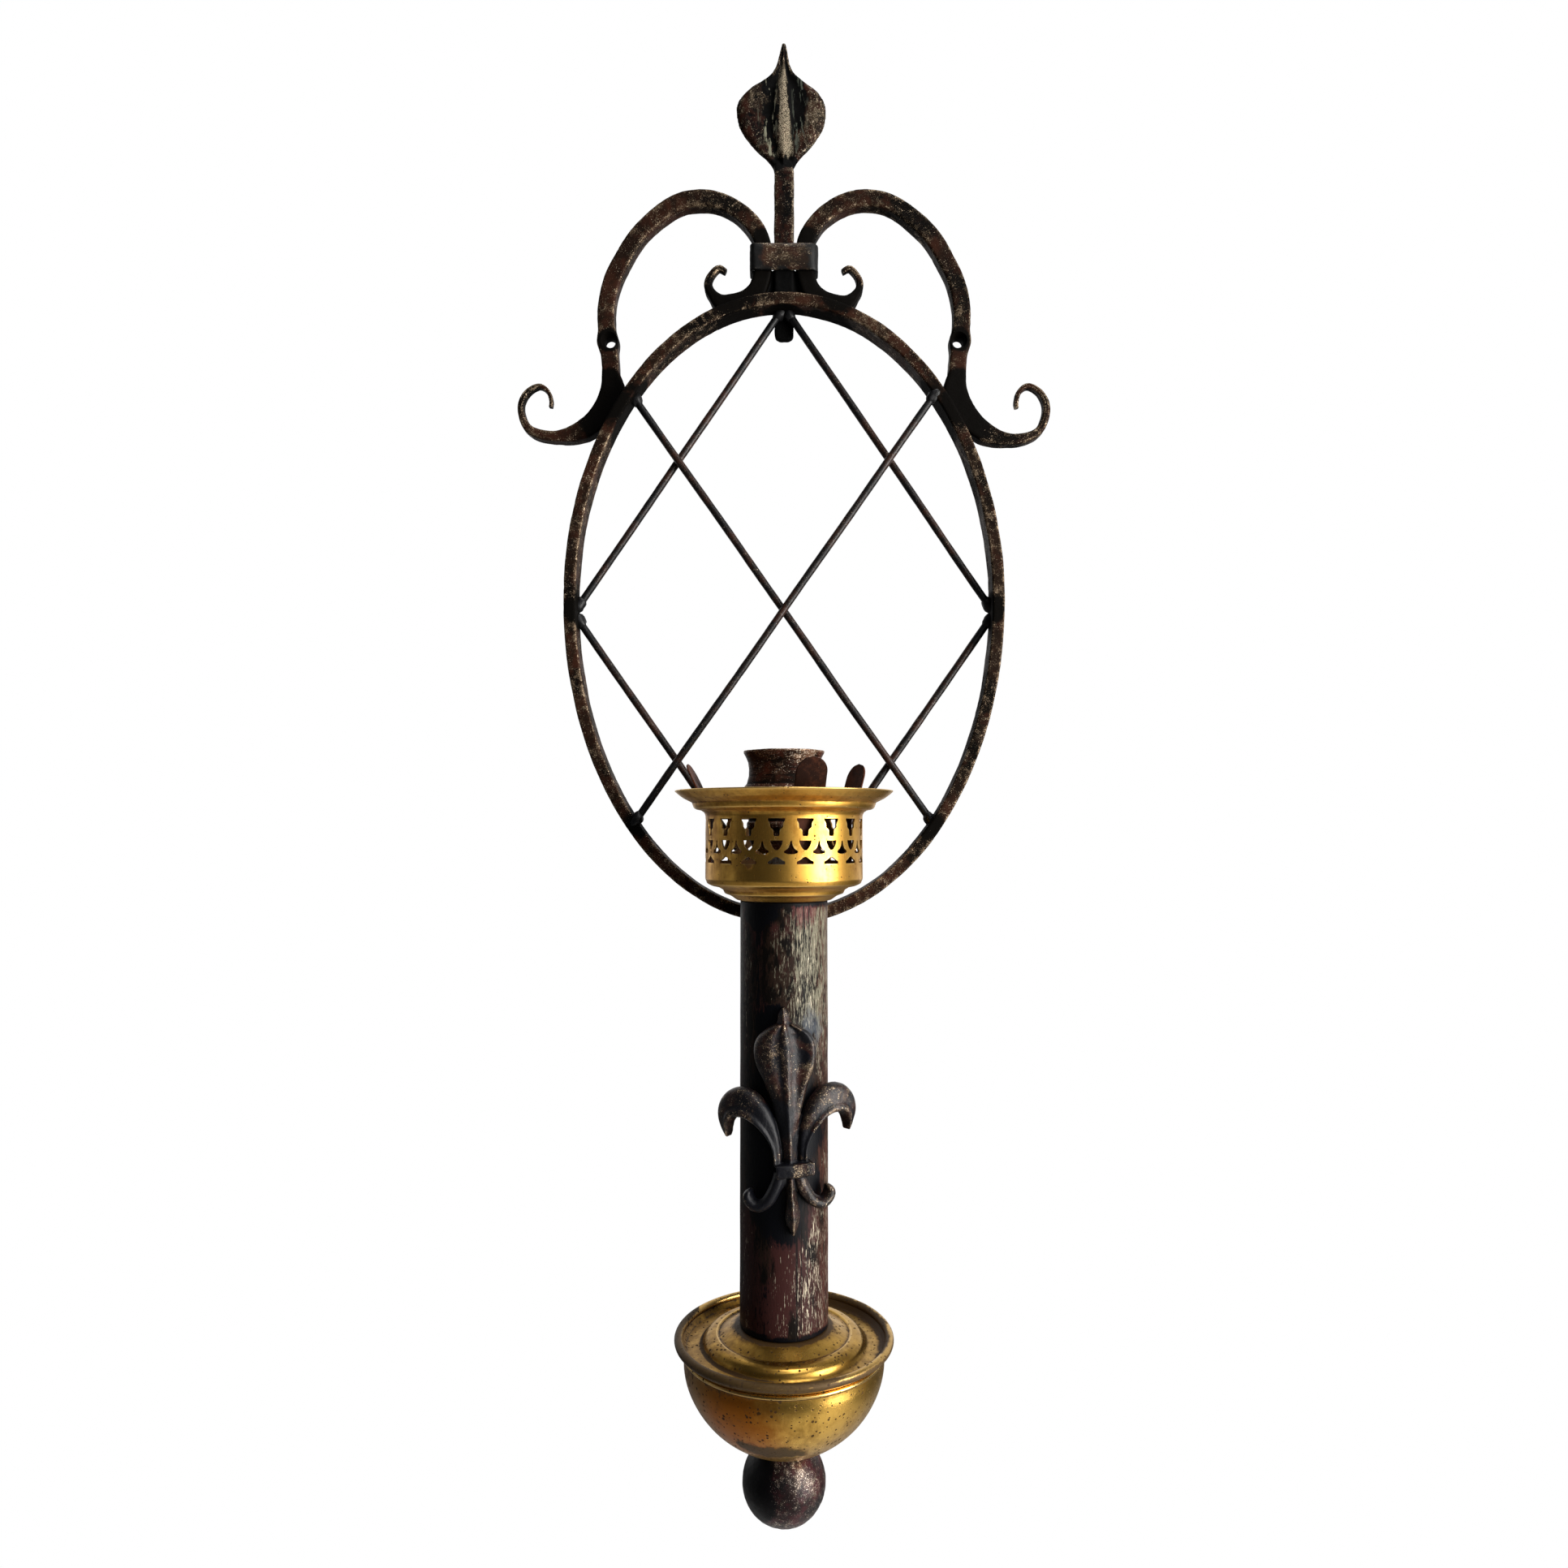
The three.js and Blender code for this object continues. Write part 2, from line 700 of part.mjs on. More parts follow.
// A turned plug with a lip that closes one end of the tube
function tubePlug(end_z, inwards) {
  const inside = tube_radius - tube_wall - seat_gap;
  const bore = rod_hole_radius;
  const lip = inside - plug_lip;
  const face = end_z + inwards * seat_gap;
  const deep = end_z + inwards * plug_thickness;
  const shoulder = end_z + inwards * (plug_thickness / 2);
  const outline = [[bore, face], [inside, face], [inside, shoulder], [lip, deep], [bore, deep], [bore, face]];
  return turned(inwards > 0 ? outline : outline.reverse(), small_facets);
}

place("tube_plug_top", tubePlug(tube_top_z, -1), iron, column);
place("tube_plug_bottom", tubePlug(tube_bottom_z, 1), iron, column);

function cableBush() {
  const flange = bush_flange / 2;
  const neck = inlet_diameter / 2 - seat_gap;
  const bore = bush_bore / 2;
  const chamfer = bush_flange_thickness / 2;
  const bush = turned([
    [bore, 0], [neck, 0], [neck, bush_length], [flange, bush_length],
    [flange, bush_length + chamfer], [flange - chamfer, bush_length + bush_flange_thickness],
    [bore, bush_length + bush_flange_thickness], [bore, 0],
  ], small_facets);
  bush.rotateX(-Math.PI / 2);
  bush.translate(0, tube_radius - bush_length + seat_gap, tube_top_z - inlet_drop);
  return bush;
}

place("cable_bush", cableBush(), rubber, column);

// Fleur-de-lis, worked flat as raised petals and then bent about an upright axis

// Up the petal: share of the rise and share of the half width
const petal_shares = [
  [0, 0.23], [0.12, 0.27], [0.26, 0.36], [0.38, 0.5], [0.5, 0.66], [0.58, 0.83], [0.65, 0.95],
  [0.72, 1], [0.78, 0.93], [0.83, 0.76], [0.87, 0.46], [0.89, 0.22], [0.94, 0.14], [1, 0.02],
];
// Arms: share of the reach, share of the rise, share of the arm's half width
const arm_shares = [
  [0.17, -0.02, 0.26], [0.18, 0.1, 0.31], [0.25, 0.21, 0.5], [0.38, 0.31, 0.74], [0.55, 0.372, 0.95],
  [0.72, 0.376, 1], [0.86, 0.335, 0.8], [0.93, 0.25, 0.5], [0.9, 0.16, 0.12],
];
// Lower curls: share of the curl's reach, share of the fall, share of the curl's half width
const curl_shares = [
  [0.23, 0.16, 0.85], [0.33, 0.34, 1], [0.52, 0.54, 0.95], [0.76, 0.61, 0.8], [0.94, 0.53, 0.6],
  [1, 0.4, 0.2],
];
// Foot: share of the fall and share of its half width
const foot_shares = [[0.14, 0.9], [0.35, 1], [0.6, 0.7], [0.85, 0.35], [1, 0.06]];
// Across a petal with a centre ridge, and across a plain rounded limb
const ridge_section_shares = [
  [1, 0.3], [0.8, 0.72], [0.5, 0.82], [0.2, 0.66], [0.06, 1], [-0.06, 1], [-0.2, 0.66], [-0.5, 0.82],
  [-0.8, 0.72], [-1, 0.3],
];
const round_section_shares = [[1, 0.3], [0.72, 0.78], [0.25, 1], [-0.25, 1], [-0.72, 0.78], [-1, 0.3]];

function fleurPoint(u, v, h) {
  const turn = (u + fleur_offset) / fleur_bend_radius;
  const radius = fleur_bend_radius + h;
  const centre = -tube_radius - seat_gap + fleur_bend_radius;
  return new THREE.Vector3(radius * Math.sin(turn), centre - radius * Math.cos(turn), v);
}

// One limb from its centre line, half widths and section
function limb(spine, section_shares, crest) {
  const curve = new THREE.CatmullRomCurve3(spine.map(([u, v, half]) => new THREE.Vector3(u, v, half)));
  const steps = Math.round(spine.length * 1.25);
  const rings = [];
  for (let i = 0; i <= steps; i++) {
    const at = curve.getPoint(i / steps);
    const ahead = curve.getTangent(i / steps);
    const side = new THREE.Vector2(ahead.y, -ahead.x).normalize();
    const half = Math.max(at.z, fleur_edge / 4);
    const high = fleur_edge + (crest - fleur_edge) * Math.min(1, 0.35 + half / fleur_arm_half);
    const front = section_shares.map(([across, lift]) => fleurPoint(
      at.x + side.x * across * half, at.y + side.y * across * half, lift * high));
    const back = [-1, 1].map((across) => fleurPoint(
      at.x + side.x * across * half, at.y + side.y * across * half, 0));
    rings.push([...front, ...back]);
  }
  return loft(rings);
}

function fleurDeLis() {
  const limbs = [
    limb(petal_shares.map(([up, wide]) => [0, up * fleur_rise, wide * fleur_petal_half]),
      ridge_section_shares, fleur_crest),
    limb(foot_shares.map(([down, wide]) => [0, -down * fleur_fall, wide * fleur_foot_half]),
      ridge_section_shares, fleur_crest),
  ];
  for (const side of [-1, 1]) {
    limbs.push(limb(arm_shares.map(([out, up, wide]) => [
      side * out * fleur_reach, up * fleur_rise, wide * fleur_arm_half]), round_section_shares, fleur_crest));
    limbs.push(limb(curl_shares.map(([out, down, wide]) => [
      side * out * fleur_curl_reach, -down * fleur_fall, wide * fleur_curl_half]),
    round_section_shares, fleur_crest));
  }
  const band_rings = [-1, -0.5, 0, 0.5, 1].map((across) => {
    const u = (across * fleur_band_width) / 2;
    const worn = fleur_band_height / 6;
    return [
      fleurPoint(u, 0, 0), fleurPoint(u, 0, fleur_band_crest - worn), fleurPoint(u, -worn, fleur_band_crest),
      fleurPoint(u, worn - fleur_band_height, fleur_band_crest),
      fleurPoint(u, -fleur_band_height, fleur_band_crest - worn), fleurPoint(u, -fleur_band_height, 0),
    ];
  });
  const tube_room = new THREE.CylinderGeometry(tube_radius + seat_gap, tube_radius + seat_gap,
    2 * (fleur_rise + fleur_fall), round_facets);
  tube_room.rotateX(Math.PI / 2);
  const ornament = cut(joined(...limbs, loft(band_rings)), tube_room);
  ornament.translate(0, 0, tube_top_z - fleur_drop);
  return ornament;
}

place("fleur_de_lis", fleurDeLis(), iron, column);

// Gallery: one spun brass shell, pierced with three rows

// Outside of the shell from the foot up: radius and height above the foot
const gallery_outside = [
  [rod_hole_radius, 0],
  [gallery_foot_radius, 0],
  [gallery_foot_radius * 1.13, brass_wall * 2.1],
  [gallery_step_radius * 0.91, brass_wall * 3.2],
  [gallery_step_radius * 0.93, brass_wall * 4.9],
  [gallery_step_radius, brass_wall * 6.2],
  [gallery_body_radius * 0.915, brass_wall * 6.9],
  [gallery_body_radius * 0.977, brass_wall * 8],
  [gallery_body_radius, brass_wall * 10.2],
  [gallery_body_radius, gallery_body_top],
  [gallery_body_radius + brass_wall * 1.3, gallery_body_top + brass_wall * 2],
  [gallery_ledge_radius - brass_wall * 1.8, gallery_ledge_height - brass_wall * 1.4],
  [gallery_ledge_radius - brass_wall * 0.2, gallery_ledge_height + brass_wall * 0.6],
  [gallery_ledge_radius + brass_wall * 3.2, gallery_ledge_height + brass_wall * 2.6],
  [gallery_rim_radius - brass_wall * 3, gallery_height - brass_wall * 2.1],
  [gallery_rim_radius, gallery_height - brass_wall * 0.5],
];
// Inside of the shell from the rim down, with the flat ledge that the chimney's foot stands over
const gallery_inside = [
  [gallery_rim_radius - brass_wall * 0.4, gallery_height],
  [gallery_rim_radius - brass_wall * 3.4, gallery_height - brass_wall],
  [gallery_ledge_radius + brass_wall * 2.6, gallery_ledge_height + brass_wall * 3.7],
  [gallery_ledge_radius - brass_wall * 1.2, gallery_ledge_height + brass_wall],
  [gallery_body_radius + brass_wall * 0.3, gallery_ledge_height + brass_wall],
  [gallery_body_radius - brass_wall, gallery_body_top + brass_wall],
  [gallery_body_radius - brass_wall, brass_wall * 10.4],
  [gallery_body_radius * 0.95, brass_wall * 9.1],
  [gallery_step_radius * 0.985, brass_wall * 7.5],
  [gallery_step_radius * 0.9, brass_wall * 6],
  [gallery_step_radius * 0.88, brass_wall * 4.4],
  [gallery_foot_radius * 1.09, brass_wall * 3.4],
  [gallery_foot_radius * 0.95, brass_wall],
  [rod_hole_radius, brass_wall],
  [rod_hole_radius, 0],
];

// Piercings: share of the half width and share of the height, right half from the top down
const vase_shares = [[1, 1], [0.84, 0.6], [0.64, 0.52], [0.44, 0.3], [0.4, 0]];
const shield_shares = [[1, 1], [0.78, 0.42], [0.12, 0]];
const bell_shares = [[0.1, 1], [0.34, 0.55], [1, 0.14], [0.6, 0]];
const wedge_shares = [[0.2, 1], [1, 0.25], [1, 0]];

function piercing(shares, width, height, foot, angle) {
  const right = shares.map(([x, z]) => new THREE.Vector2((x * width) / 2, foot + z * height));
  const left = right.map((p) => new THREE.Vector2(-p.x, p.y)).reverse();
  const shape = new THREE.Shape([...right, ...left]);
  const hole = frontExtrude(shape, -gallery_body_radius + brass_wall + cut_overrun,
    brass_wall + 2 * cut_overrun, 1);
  hole.rotateZ(angle);
  return hole;
}

function gallery() {
  const bell_row = piercing_start + wedge_height + piercing_row_gap;
  const shield_row = bell_row + bell_height - shield_height;
  const vase_row = bell_row + bell_height + piercing_row_gap * 1.7;
  const shell = turned([...gallery_outside, ...gallery_inside], gallery_facets);
  const pitch = (2 * Math.PI) / gallery_repeats;
  const holes = [];
  for (let i = 0; i < gallery_repeats; i++) {
    const angle = i * pitch;
    holes.push(piercing(vase_shares, vase_width, vase_height, vase_row, angle));
    holes.push(piercing(shield_shares, shield_width, shield_height, shield_row, angle));
    holes.push(piercing(wedge_shares, wedge_width, wedge_height, piercing_start, angle));
    holes.push(piercing(bell_shares, bell_width, bell_height, bell_row, angle + pitch / 2));
  }
  const pierced = cut(shell, ...holes);
  pierced.translate(0, 0, gallery_z);
  return pierced;
}

place("gallery", gallery(), brass, column);

const finger_angles = [first_finger_angle, second_finger_angle, third_finger_angle];

// Chimney spring: three arms from a hub on the gallery's floor, up inside the wall

const gallery_floor_z = gallery_z + brass_wall;
const spring_z = gallery_floor_z + seat_gap;
const ledge_z = gallery_z + gallery_ledge_height + brass_wall;
const spring_top_z = ledge_z + seat_gap + finger_thickness;

// A strip of even thickness that follows a line of radius and height points
function bentStrip(line, thickness, width) {
  const points = line.map(([r, z]) => new THREE.Vector2(r, z));
  const sides = [1, -1].map((side) => points.map((at, i) => {
    const before = points[Math.max(i - 1, 0)];
    const after = points[Math.min(i + 1, points.length - 1)];
    const turn = new THREE.Vector2().subVectors(after, before).normalize();
    return new THREE.Vector2(at.x - turn.y * side * thickness / 2, at.y + turn.x * side * thickness / 2);
  }));
  const shape = new THREE.Shape([...sides[0], ...sides[1].reverse()]);
  return frontExtrude(shape, width / 2, width, 1);
}

function chimneySpring() {
  const low = finger_thickness / 2;
  const top = spring_top_z - spring_z - finger_thickness / 2;
  const foot = spring_leg_radius - finger_root_radius;
  const line = [
    [rod_hole_radius + spring_hub_radius / 3, low], [gallery_foot_radius * 0.82, low],
    [gallery_step_radius * 0.76, low + finger_thickness * 3.4], [spring_leg_radius * 0.93, top * 0.21],
    [spring_leg_radius, top * 0.29], [spring_leg_radius, top - finger_thickness],
    [spring_leg_radius - foot * 0.2, top], [finger_root_radius + finger_thickness, top],
  ];
  const arms = finger_angles.map((angle) => {
    const arm = bentStrip(line, finger_thickness, finger_width);
    arm.rotateZ((angle - 90) * deg);
    return arm;
  });
  const hub = washerSolid(spring_hub_radius, rod_hole_radius, 0, finger_thickness);
  const spring = joined(hub, ...arms);
  spring.translate(0, 0, spring_z);
  return spring;
}

place("chimney_spring", chimneySpring(), spring_iron, column);

// Finger blade in its own frame: foot at the origin, leaning out, rounded at the top
function fingerBlade() {
  const half = finger_width / 2;
  const outline = new THREE.Shape();
  outline.moveTo(half, 0);
  outline.lineTo(half, finger_height - half);
  outline.absarc(0, finger_height - half, half, 0, Math.PI, false);
  outline.lineTo(-half, 0);
  const blade = frontExtrude(outline, finger_thickness / 2, finger_thickness, 8);
  blade.rotateX(finger_lean_angle * deg);
  return blade;
}

for (const [i, angle] of finger_angles.entries()) {
  const holder = new THREE.Group();
  holder.rotation.z = angle * deg;
  column.add(holder);
  const blade = place(`spring_finger_${i + 1}`, fingerBlade(), spring_iron, holder);
  blade.position.set(0, -finger_root_radius, spring_top_z + turning_gap);
}

// Lampholder: cup, insulator, screw shell, contact and terminals

const cup_top_z = gallery_z + cup_top;
const cup_bottom_z = cup_top_z - cup_height;

// Radius as a named value and height as a share of the cup, outside, from the foot
const cup_rib = cup_wall * 0.8;
const cup_outside = [
  [rod_hole_radius, 0], [cup_waist_radius * 0.62, 0], [cup_waist_radius * 0.9, 0.06],
  [cup_waist_radius, 0.14], [cup_waist_radius, 0.24], [cup_waist_radius + cup_rib, 0.26],
  [cup_waist_radius + cup_rib, 0.3], [cup_waist_radius, 0.32], [cup_waist_radius, 0.42],
  [cup_waist_radius + cup_rib, 0.44], [cup_waist_radius + cup_rib, 0.48], [cup_waist_radius, 0.5],
  [cup_waist_radius, 0.58], [cup_bead_radius, 0.61], [cup_bead_radius, 0.645],
  [cup_waist_radius + cup_rib, 0.68],
  [cup_waist_radius, 0.82], [cup_waist_radius + cup_rib, 0.93], [cup_lip_radius, 1],
];

function lampCup() {
  const outside = cup_outside.map(([r, share]) => [r, share * cup_height]);
  const inner = cup_waist_radius - cup_wall;
  const inside = [
    [cup_lip_radius - cup_wall, cup_height],
    [inner + cup_rib, cup_height * 0.93],
    [inner, cup_height * 0.82],
    [inner, cup_height * 0.14],
    [inner * 0.9, cup_floor + cup_height * 0.06],
    [cup_waist_radius * 0.6, cup_floor],
    [rod_hole_radius, cup_floor],
    [rod_hole_radius, 0],
  ];
  const cup = turned([...outside, ...inside], small_facets);
  cup.translate(0, 0, cup_bottom_z);
  return cup;
}

place("lampholder_cup", lampCup(), iron, column);

const insulator_z = cup_bottom_z + cup_floor + cup_height * 0.08;
const insulator_radius = cup_waist_radius - cup_wall - seat_gap;
const shell_outer = insulator_radius - shell_clearance;
const shell_z = insulator_z + insulator_height - insulator_pocket + seat_gap;

function lampInsulator() {
  const pocket = insulator_height - insulator_pocket;
  const pocket_radius = shell_outer + seat_gap;
  const rod_room = rod_hole_radius + nut_across_flats / 8;
  const body = turned([
    [0, insulator_height * 0.5], [rod_room, insulator_height * 0.5], [rod_room, 0],
    [insulator_radius * 0.92, 0], [insulator_radius, insulator_height * 0.16],
    [insulator_radius, insulator_height], [pocket_radius, insulator_height],
    [pocket_radius, pocket], [0, pocket],
  ], small_facets);
  body.translate(0, 0, insulator_z);
  return body;
}

place("lampholder_insulator", lampInsulator(), porcelain, column);

// A drawn brass shell with a hole in its floor for the contact
function screwShell() {
  const floor_hole = shell_outer * 0.72;
  const inner = shell_outer - shell_wall;
  const skin = turned([
    [floor_hole, 0], [shell_outer, 0], [shell_outer, shell_height], [inner, shell_height],
    [inner, shell_wall], [floor_hole, shell_wall], [floor_hole, 0],
  ], small_facets);
  skin.translate(0, 0, shell_z);
  return skin;
}

place("lampholder_screw_shell", screwShell(), bright_brass, column);

// A flat tongue with a raised button, on the insulator inside the shell's open floor
function centreContact() {
  const tongue = boxSolid(contact_length, contact_width, contact_thickness);
  const button = turned([
    [0, 0], [contact_button, 0], [contact_button, contact_thickness],
    [contact_button * 0.6, contact_button], [0, contact_button],
  ], screw_facets);
  return joined(tongue, button);
}

const contact_z = shell_z + contact_thickness / 2;
const contact = place("centre_contact", centreContact(), bright_brass, column);
contact.position.set(0, 0, contact_z);

function terminalScrew() {
  const head = turned([
    [0, 0], [terminal_screw_radius, 0], [terminal_screw_radius, terminal_screw_radius * 0.8],
    [terminal_screw_radius * 0.7, terminal_screw_radius], [0, terminal_screw_radius],
  ], screw_facets);
  head.rotateX(Math.PI);
  return head;
}

for (const [side_name, side] of [["left", -1], ["right", 1]]) {
  const screw = place(`terminal_screw_${side_name}`, terminalScrew(), bright_brass, column);
  screw.position.set(side * terminal_screw_offset, 0, insulator_z - seat_gap);
}

// Lamp rod with its nuts and washers

const pan_z = tube_bottom_z - seat_gap;
const bowl_rim_z = pan_z - pan_drop - brass_wall - seat_gap;
const bowl_flat_angle = Math.acos((bowl_flat_radius / bowl_radius) ** (bowl_roundness / 2));
const bowl_fall = bowl_depth * Math.sin(bowl_flat_angle) ** (2 / bowl_roundness);
const bowl_pole_z = bowl_rim_z - bowl_collar - bowl_fall;
const ball_top_z = bowl_pole_z - seat_gap;
const ball_flat = Math.sqrt(ball_radius ** 2 - ball_seat_radius ** 2);
const ball_centre_z = ball_top_z - ball_flat;
const rod_foot_z = ball_top_z - ball_thread_overlap;
const rod_head_z = insulator_z + insulator_height * 0.3;

const rod_length = rod_head_z - rod_foot_z;
const lamp_rod = washerSolid(lamp_rod_diameter / 2, lamp_rod_bore / 2, rod_foot_z, rod_length);
place("lamp_rod", lamp_rod, plated_steel, column);

function hexNut(foot_z) {
  const corner = nut_across_flats / Math.sqrt(3);
  const corners = [];
  for (let i = 0; i < nut_sides; i++) {
    const turn = (2 * Math.PI * i) / nut_sides;
    corners.push(new THREE.Vector2(corner * Math.cos(turn), corner * Math.sin(turn)));
  }
  const nut = new THREE.Shape(corners);
  const bore = new THREE.Path();
  bore.absarc(0, 0, lamp_rod_diameter / 2 + seat_gap, 0, 2 * Math.PI, true);
  nut.holes.push(bore);
  const geometry = new THREE.ExtrudeGeometry(nut, {
    depth: nut_height,
    bevelEnabled: false,
    curveSegments: 7,
  });
  geometry.translate(0, 0, foot_z);
  return geometry;
}

function washerOnRod(foot_z) {
  return washerSolid(washer_diameter / 2, rod_hole_radius, foot_z, washer_thickness);
}

const gallery_washer_z = spring_z + finger_thickness + seat_gap;
const gallery_nut_z = gallery_washer_z + washer_thickness + seat_gap;
const cup_nut_z = cup_bottom_z - seat_gap - nut_height;
const plug_nut_z = tube_bottom_z + plug_thickness + seat_gap;
const bowl_washer_z = bowl_pole_z + brass_wall + seat_gap;
const bowl_nut_z = bowl_washer_z + washer_thickness + seat_gap;

place("gallery_washer", washerOnRod(gallery_washer_z), plated_steel, column);
place("gallery_nut", hexNut(gallery_nut_z), plated_steel, column);
place("cup_nut", hexNut(cup_nut_z), plated_steel, column);
place("plug_nut", hexNut(plug_nut_z), plated_steel, column);
place("bowl_washer", washerOnRod(bowl_washer_z), plated_steel, column);
place("bowl_nut", hexNut(bowl_nut_z), plated_steel, column);

// Pan: spun lid with a rolled rim and two steps up to the tube

function pan() {
  const roll_r = pan_rim_radius - pan_roll_radius;
  const roll_z = -pan_drop + pan_roll_radius + brass_wall;
  const trough = -pan_drop;
  const tube_edge = tube_radius + seat_gap;
  const top = [
    [rod_hole_radius, 0], [tube_edge, 0],
    [pan_groove_radius - brass_wall * 2, brass_wall * 0.2 - pan_groove_drop],
    [pan_groove_radius, -pan_groove_drop - brass_wall * 0.6],
    [pan_groove_radius + brass_wall * 1.4, brass_wall * 0.1 - pan_groove_drop],
    [pan_step_radius - brass_wall * 2.4, -pan_groove_drop - brass_wall * 0.9],
    [pan_step_radius - brass_wall * 0.4, trough + brass_wall * 1.8],
    [pan_step_radius + brass_wall, trough],
    [roll_r - pan_roll_radius * 1.9, trough],
  ];
  const roll = [];
  const roll_facets = 6;
  for (let i = 0; i <= roll_facets; i++) {
    const a = (pan_roll_start_angle - (pan_roll_turn_angle * i) / roll_facets) * deg;
    roll.push([roll_r + pan_roll_radius * Math.cos(a), roll_z + pan_roll_radius * Math.sin(a)]);
  }
  const under = top.map(([r, z]) => [r, z - brass_wall]).reverse();
  under[0] = [roll_r - pan_roll_radius, trough - brass_wall];
  const lid = turned([...top, ...roll, ...under, top[0]].reverse());
  lid.translate(0, 0, pan_z);
  return lid;
}

place("pan", pan(), brass, column);

// Bowl: spun cup with a beaded edge that tucks under the pan

function bowl() {
  const steps = 7;
  const curve = (inset) => {
    const points = [];
    for (let i = 0; i <= steps; i++) {
      const a = (i / steps) * bowl_flat_angle;
      const r = (bowl_radius - inset) * Math.cos(a) ** (2 / bowl_roundness);
      const z = -(bowl_depth - inset) * Math.sin(a) ** (2 / bowl_roundness);
      points.push([r, bowl_rim_z - bowl_collar + z]);
    }
    return [...points, [rod_hole_radius, points[steps][1]]];
  };
  const outer = curve(0).reverse();
  const inner = curve(brass_wall);
  return turned([
    ...outer,
    [bowl_radius, bowl_rim_z - 2 * bowl_bead], [bowl_radius + bowl_bead, bowl_rim_z - bowl_bead * 1.4],
    [bowl_radius + bowl_bead, bowl_rim_z - bowl_bead * 0.6], [bowl_radius, bowl_rim_z],
    [bowl_radius - brass_wall, bowl_rim_z], ...inner, outer[0],
  ]);
}

place("bowl", bowl(), brass, column);

// Ball finial, tapped from its flat top

function ballFinial() {
  const arc = 10;
  const start = Math.asin(ball_flat / ball_radius);
  const points = [];
  for (let i = 0; i <= arc; i++) {
    const a = start - ((start + Math.PI / 2) * i) / arc;
    points.push([Math.max(0, ball_radius * Math.cos(a)), ball_radius * Math.sin(a)]);
  }
  const thread = lamp_rod_diameter / 2 + turning_gap;
  const outline = [
    ...points.reverse(), [thread, ball_flat], [thread, ball_flat - ball_thread_depth],
    [0, ball_flat - ball_thread_depth],
  ];
  return turned(outline, round_facets);
}

const ball = place("ball_finial", ballFinial(), iron, column);
ball.position.set(0, 0, ball_centre_z);

export default sconce;
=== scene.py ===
import math

import bpy
import bmesh
import numpy as np
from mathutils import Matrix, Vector, noise


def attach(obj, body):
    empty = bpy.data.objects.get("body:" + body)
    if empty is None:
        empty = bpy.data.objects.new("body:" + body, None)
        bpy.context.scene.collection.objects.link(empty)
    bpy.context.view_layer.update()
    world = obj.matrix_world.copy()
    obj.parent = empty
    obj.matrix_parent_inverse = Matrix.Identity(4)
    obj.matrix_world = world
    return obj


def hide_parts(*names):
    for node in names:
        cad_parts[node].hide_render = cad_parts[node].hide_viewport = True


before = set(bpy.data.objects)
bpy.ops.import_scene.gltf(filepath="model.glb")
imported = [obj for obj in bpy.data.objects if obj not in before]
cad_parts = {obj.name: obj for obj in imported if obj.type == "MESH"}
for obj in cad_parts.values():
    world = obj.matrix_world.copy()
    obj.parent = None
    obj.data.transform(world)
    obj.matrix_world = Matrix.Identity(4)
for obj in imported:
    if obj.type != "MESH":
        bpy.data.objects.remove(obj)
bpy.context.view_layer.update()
MM = 0.001

# The studio. The lamp hangs free in a white surround, with a pale floor well below it. A large soft window
# light stands to the right, and far weaker ones above, right of the camera and at the left. Metal mirrors
# the white on the wall's side only.

scene = bpy.context.scene
scene.view_settings.view_transform = "Standard"

eye = bpy.data.cameras.new("eye")
eye.sensor_width = 36
eye.lens = 25.19
camera = bpy.data.objects.new("eye", eye)
camera.location = (0, -0.532, -0.2545)
camera.rotation_euler = (math.radians(92.36), 0, 0)
scene.collection.objects.link(camera)
scene.camera = camera


def put(tree, kind, inputs=(), **settings):
    """Adds a shader node. inputs pairs a socket with a value, or with the output that feeds it."""
    made = tree.nodes.new("ShaderNode" + kind)
    for key, value in settings.items():
        setattr(made, key, value)
    for key, value in dict(inputs).items():
        if isinstance(value, bpy.types.NodeSocket):
            tree.links.new(value, made.inputs[key])
        else:
            made.inputs[key].default_value = value
    return made


def soft_lamp(name, place, aim, width, height, power, colour, spread=180):
    lamp = bpy.data.lights.new(name, "AREA")
    lamp.shape = "RECTANGLE"
    lamp.size, lamp.size_y = width, height
    lamp.energy = power
    lamp.color = colour
    lamp.spread = math.radians(spread)
    stand = bpy.data.objects.new(name, lamp)
    stand.location = place
    stand.rotation_euler = (Vector(aim) - Vector(place)).to_track_quat("-Z", "Y").to_euler()
    scene.collection.objects.link(stand)


soft_lamp("window_right", (1.5, -0.95, -0.2), (0, -0.03, -0.3), 0.9, 2.1, 44, (1, 0.98, 0.95), 130)
soft_lamp("window_left", (-1.5, -0.25, 0.0), (0, -0.03, -0.25), 0.3, 1.3, 0.2, (0.93, 0.96, 1), 90)
soft_lamp("overhead", (0.4, -0.6, 1.5), (0, -0.03, -0.35), 0.7, 0.7, 2.4, (1, 1, 1), 70)
soft_lamp("front_right", (0.85, -1.6, 0.1), (0, -0.03, -0.25), 0.9, 1.2, 1.7, (1, 0.99, 0.97), 90)

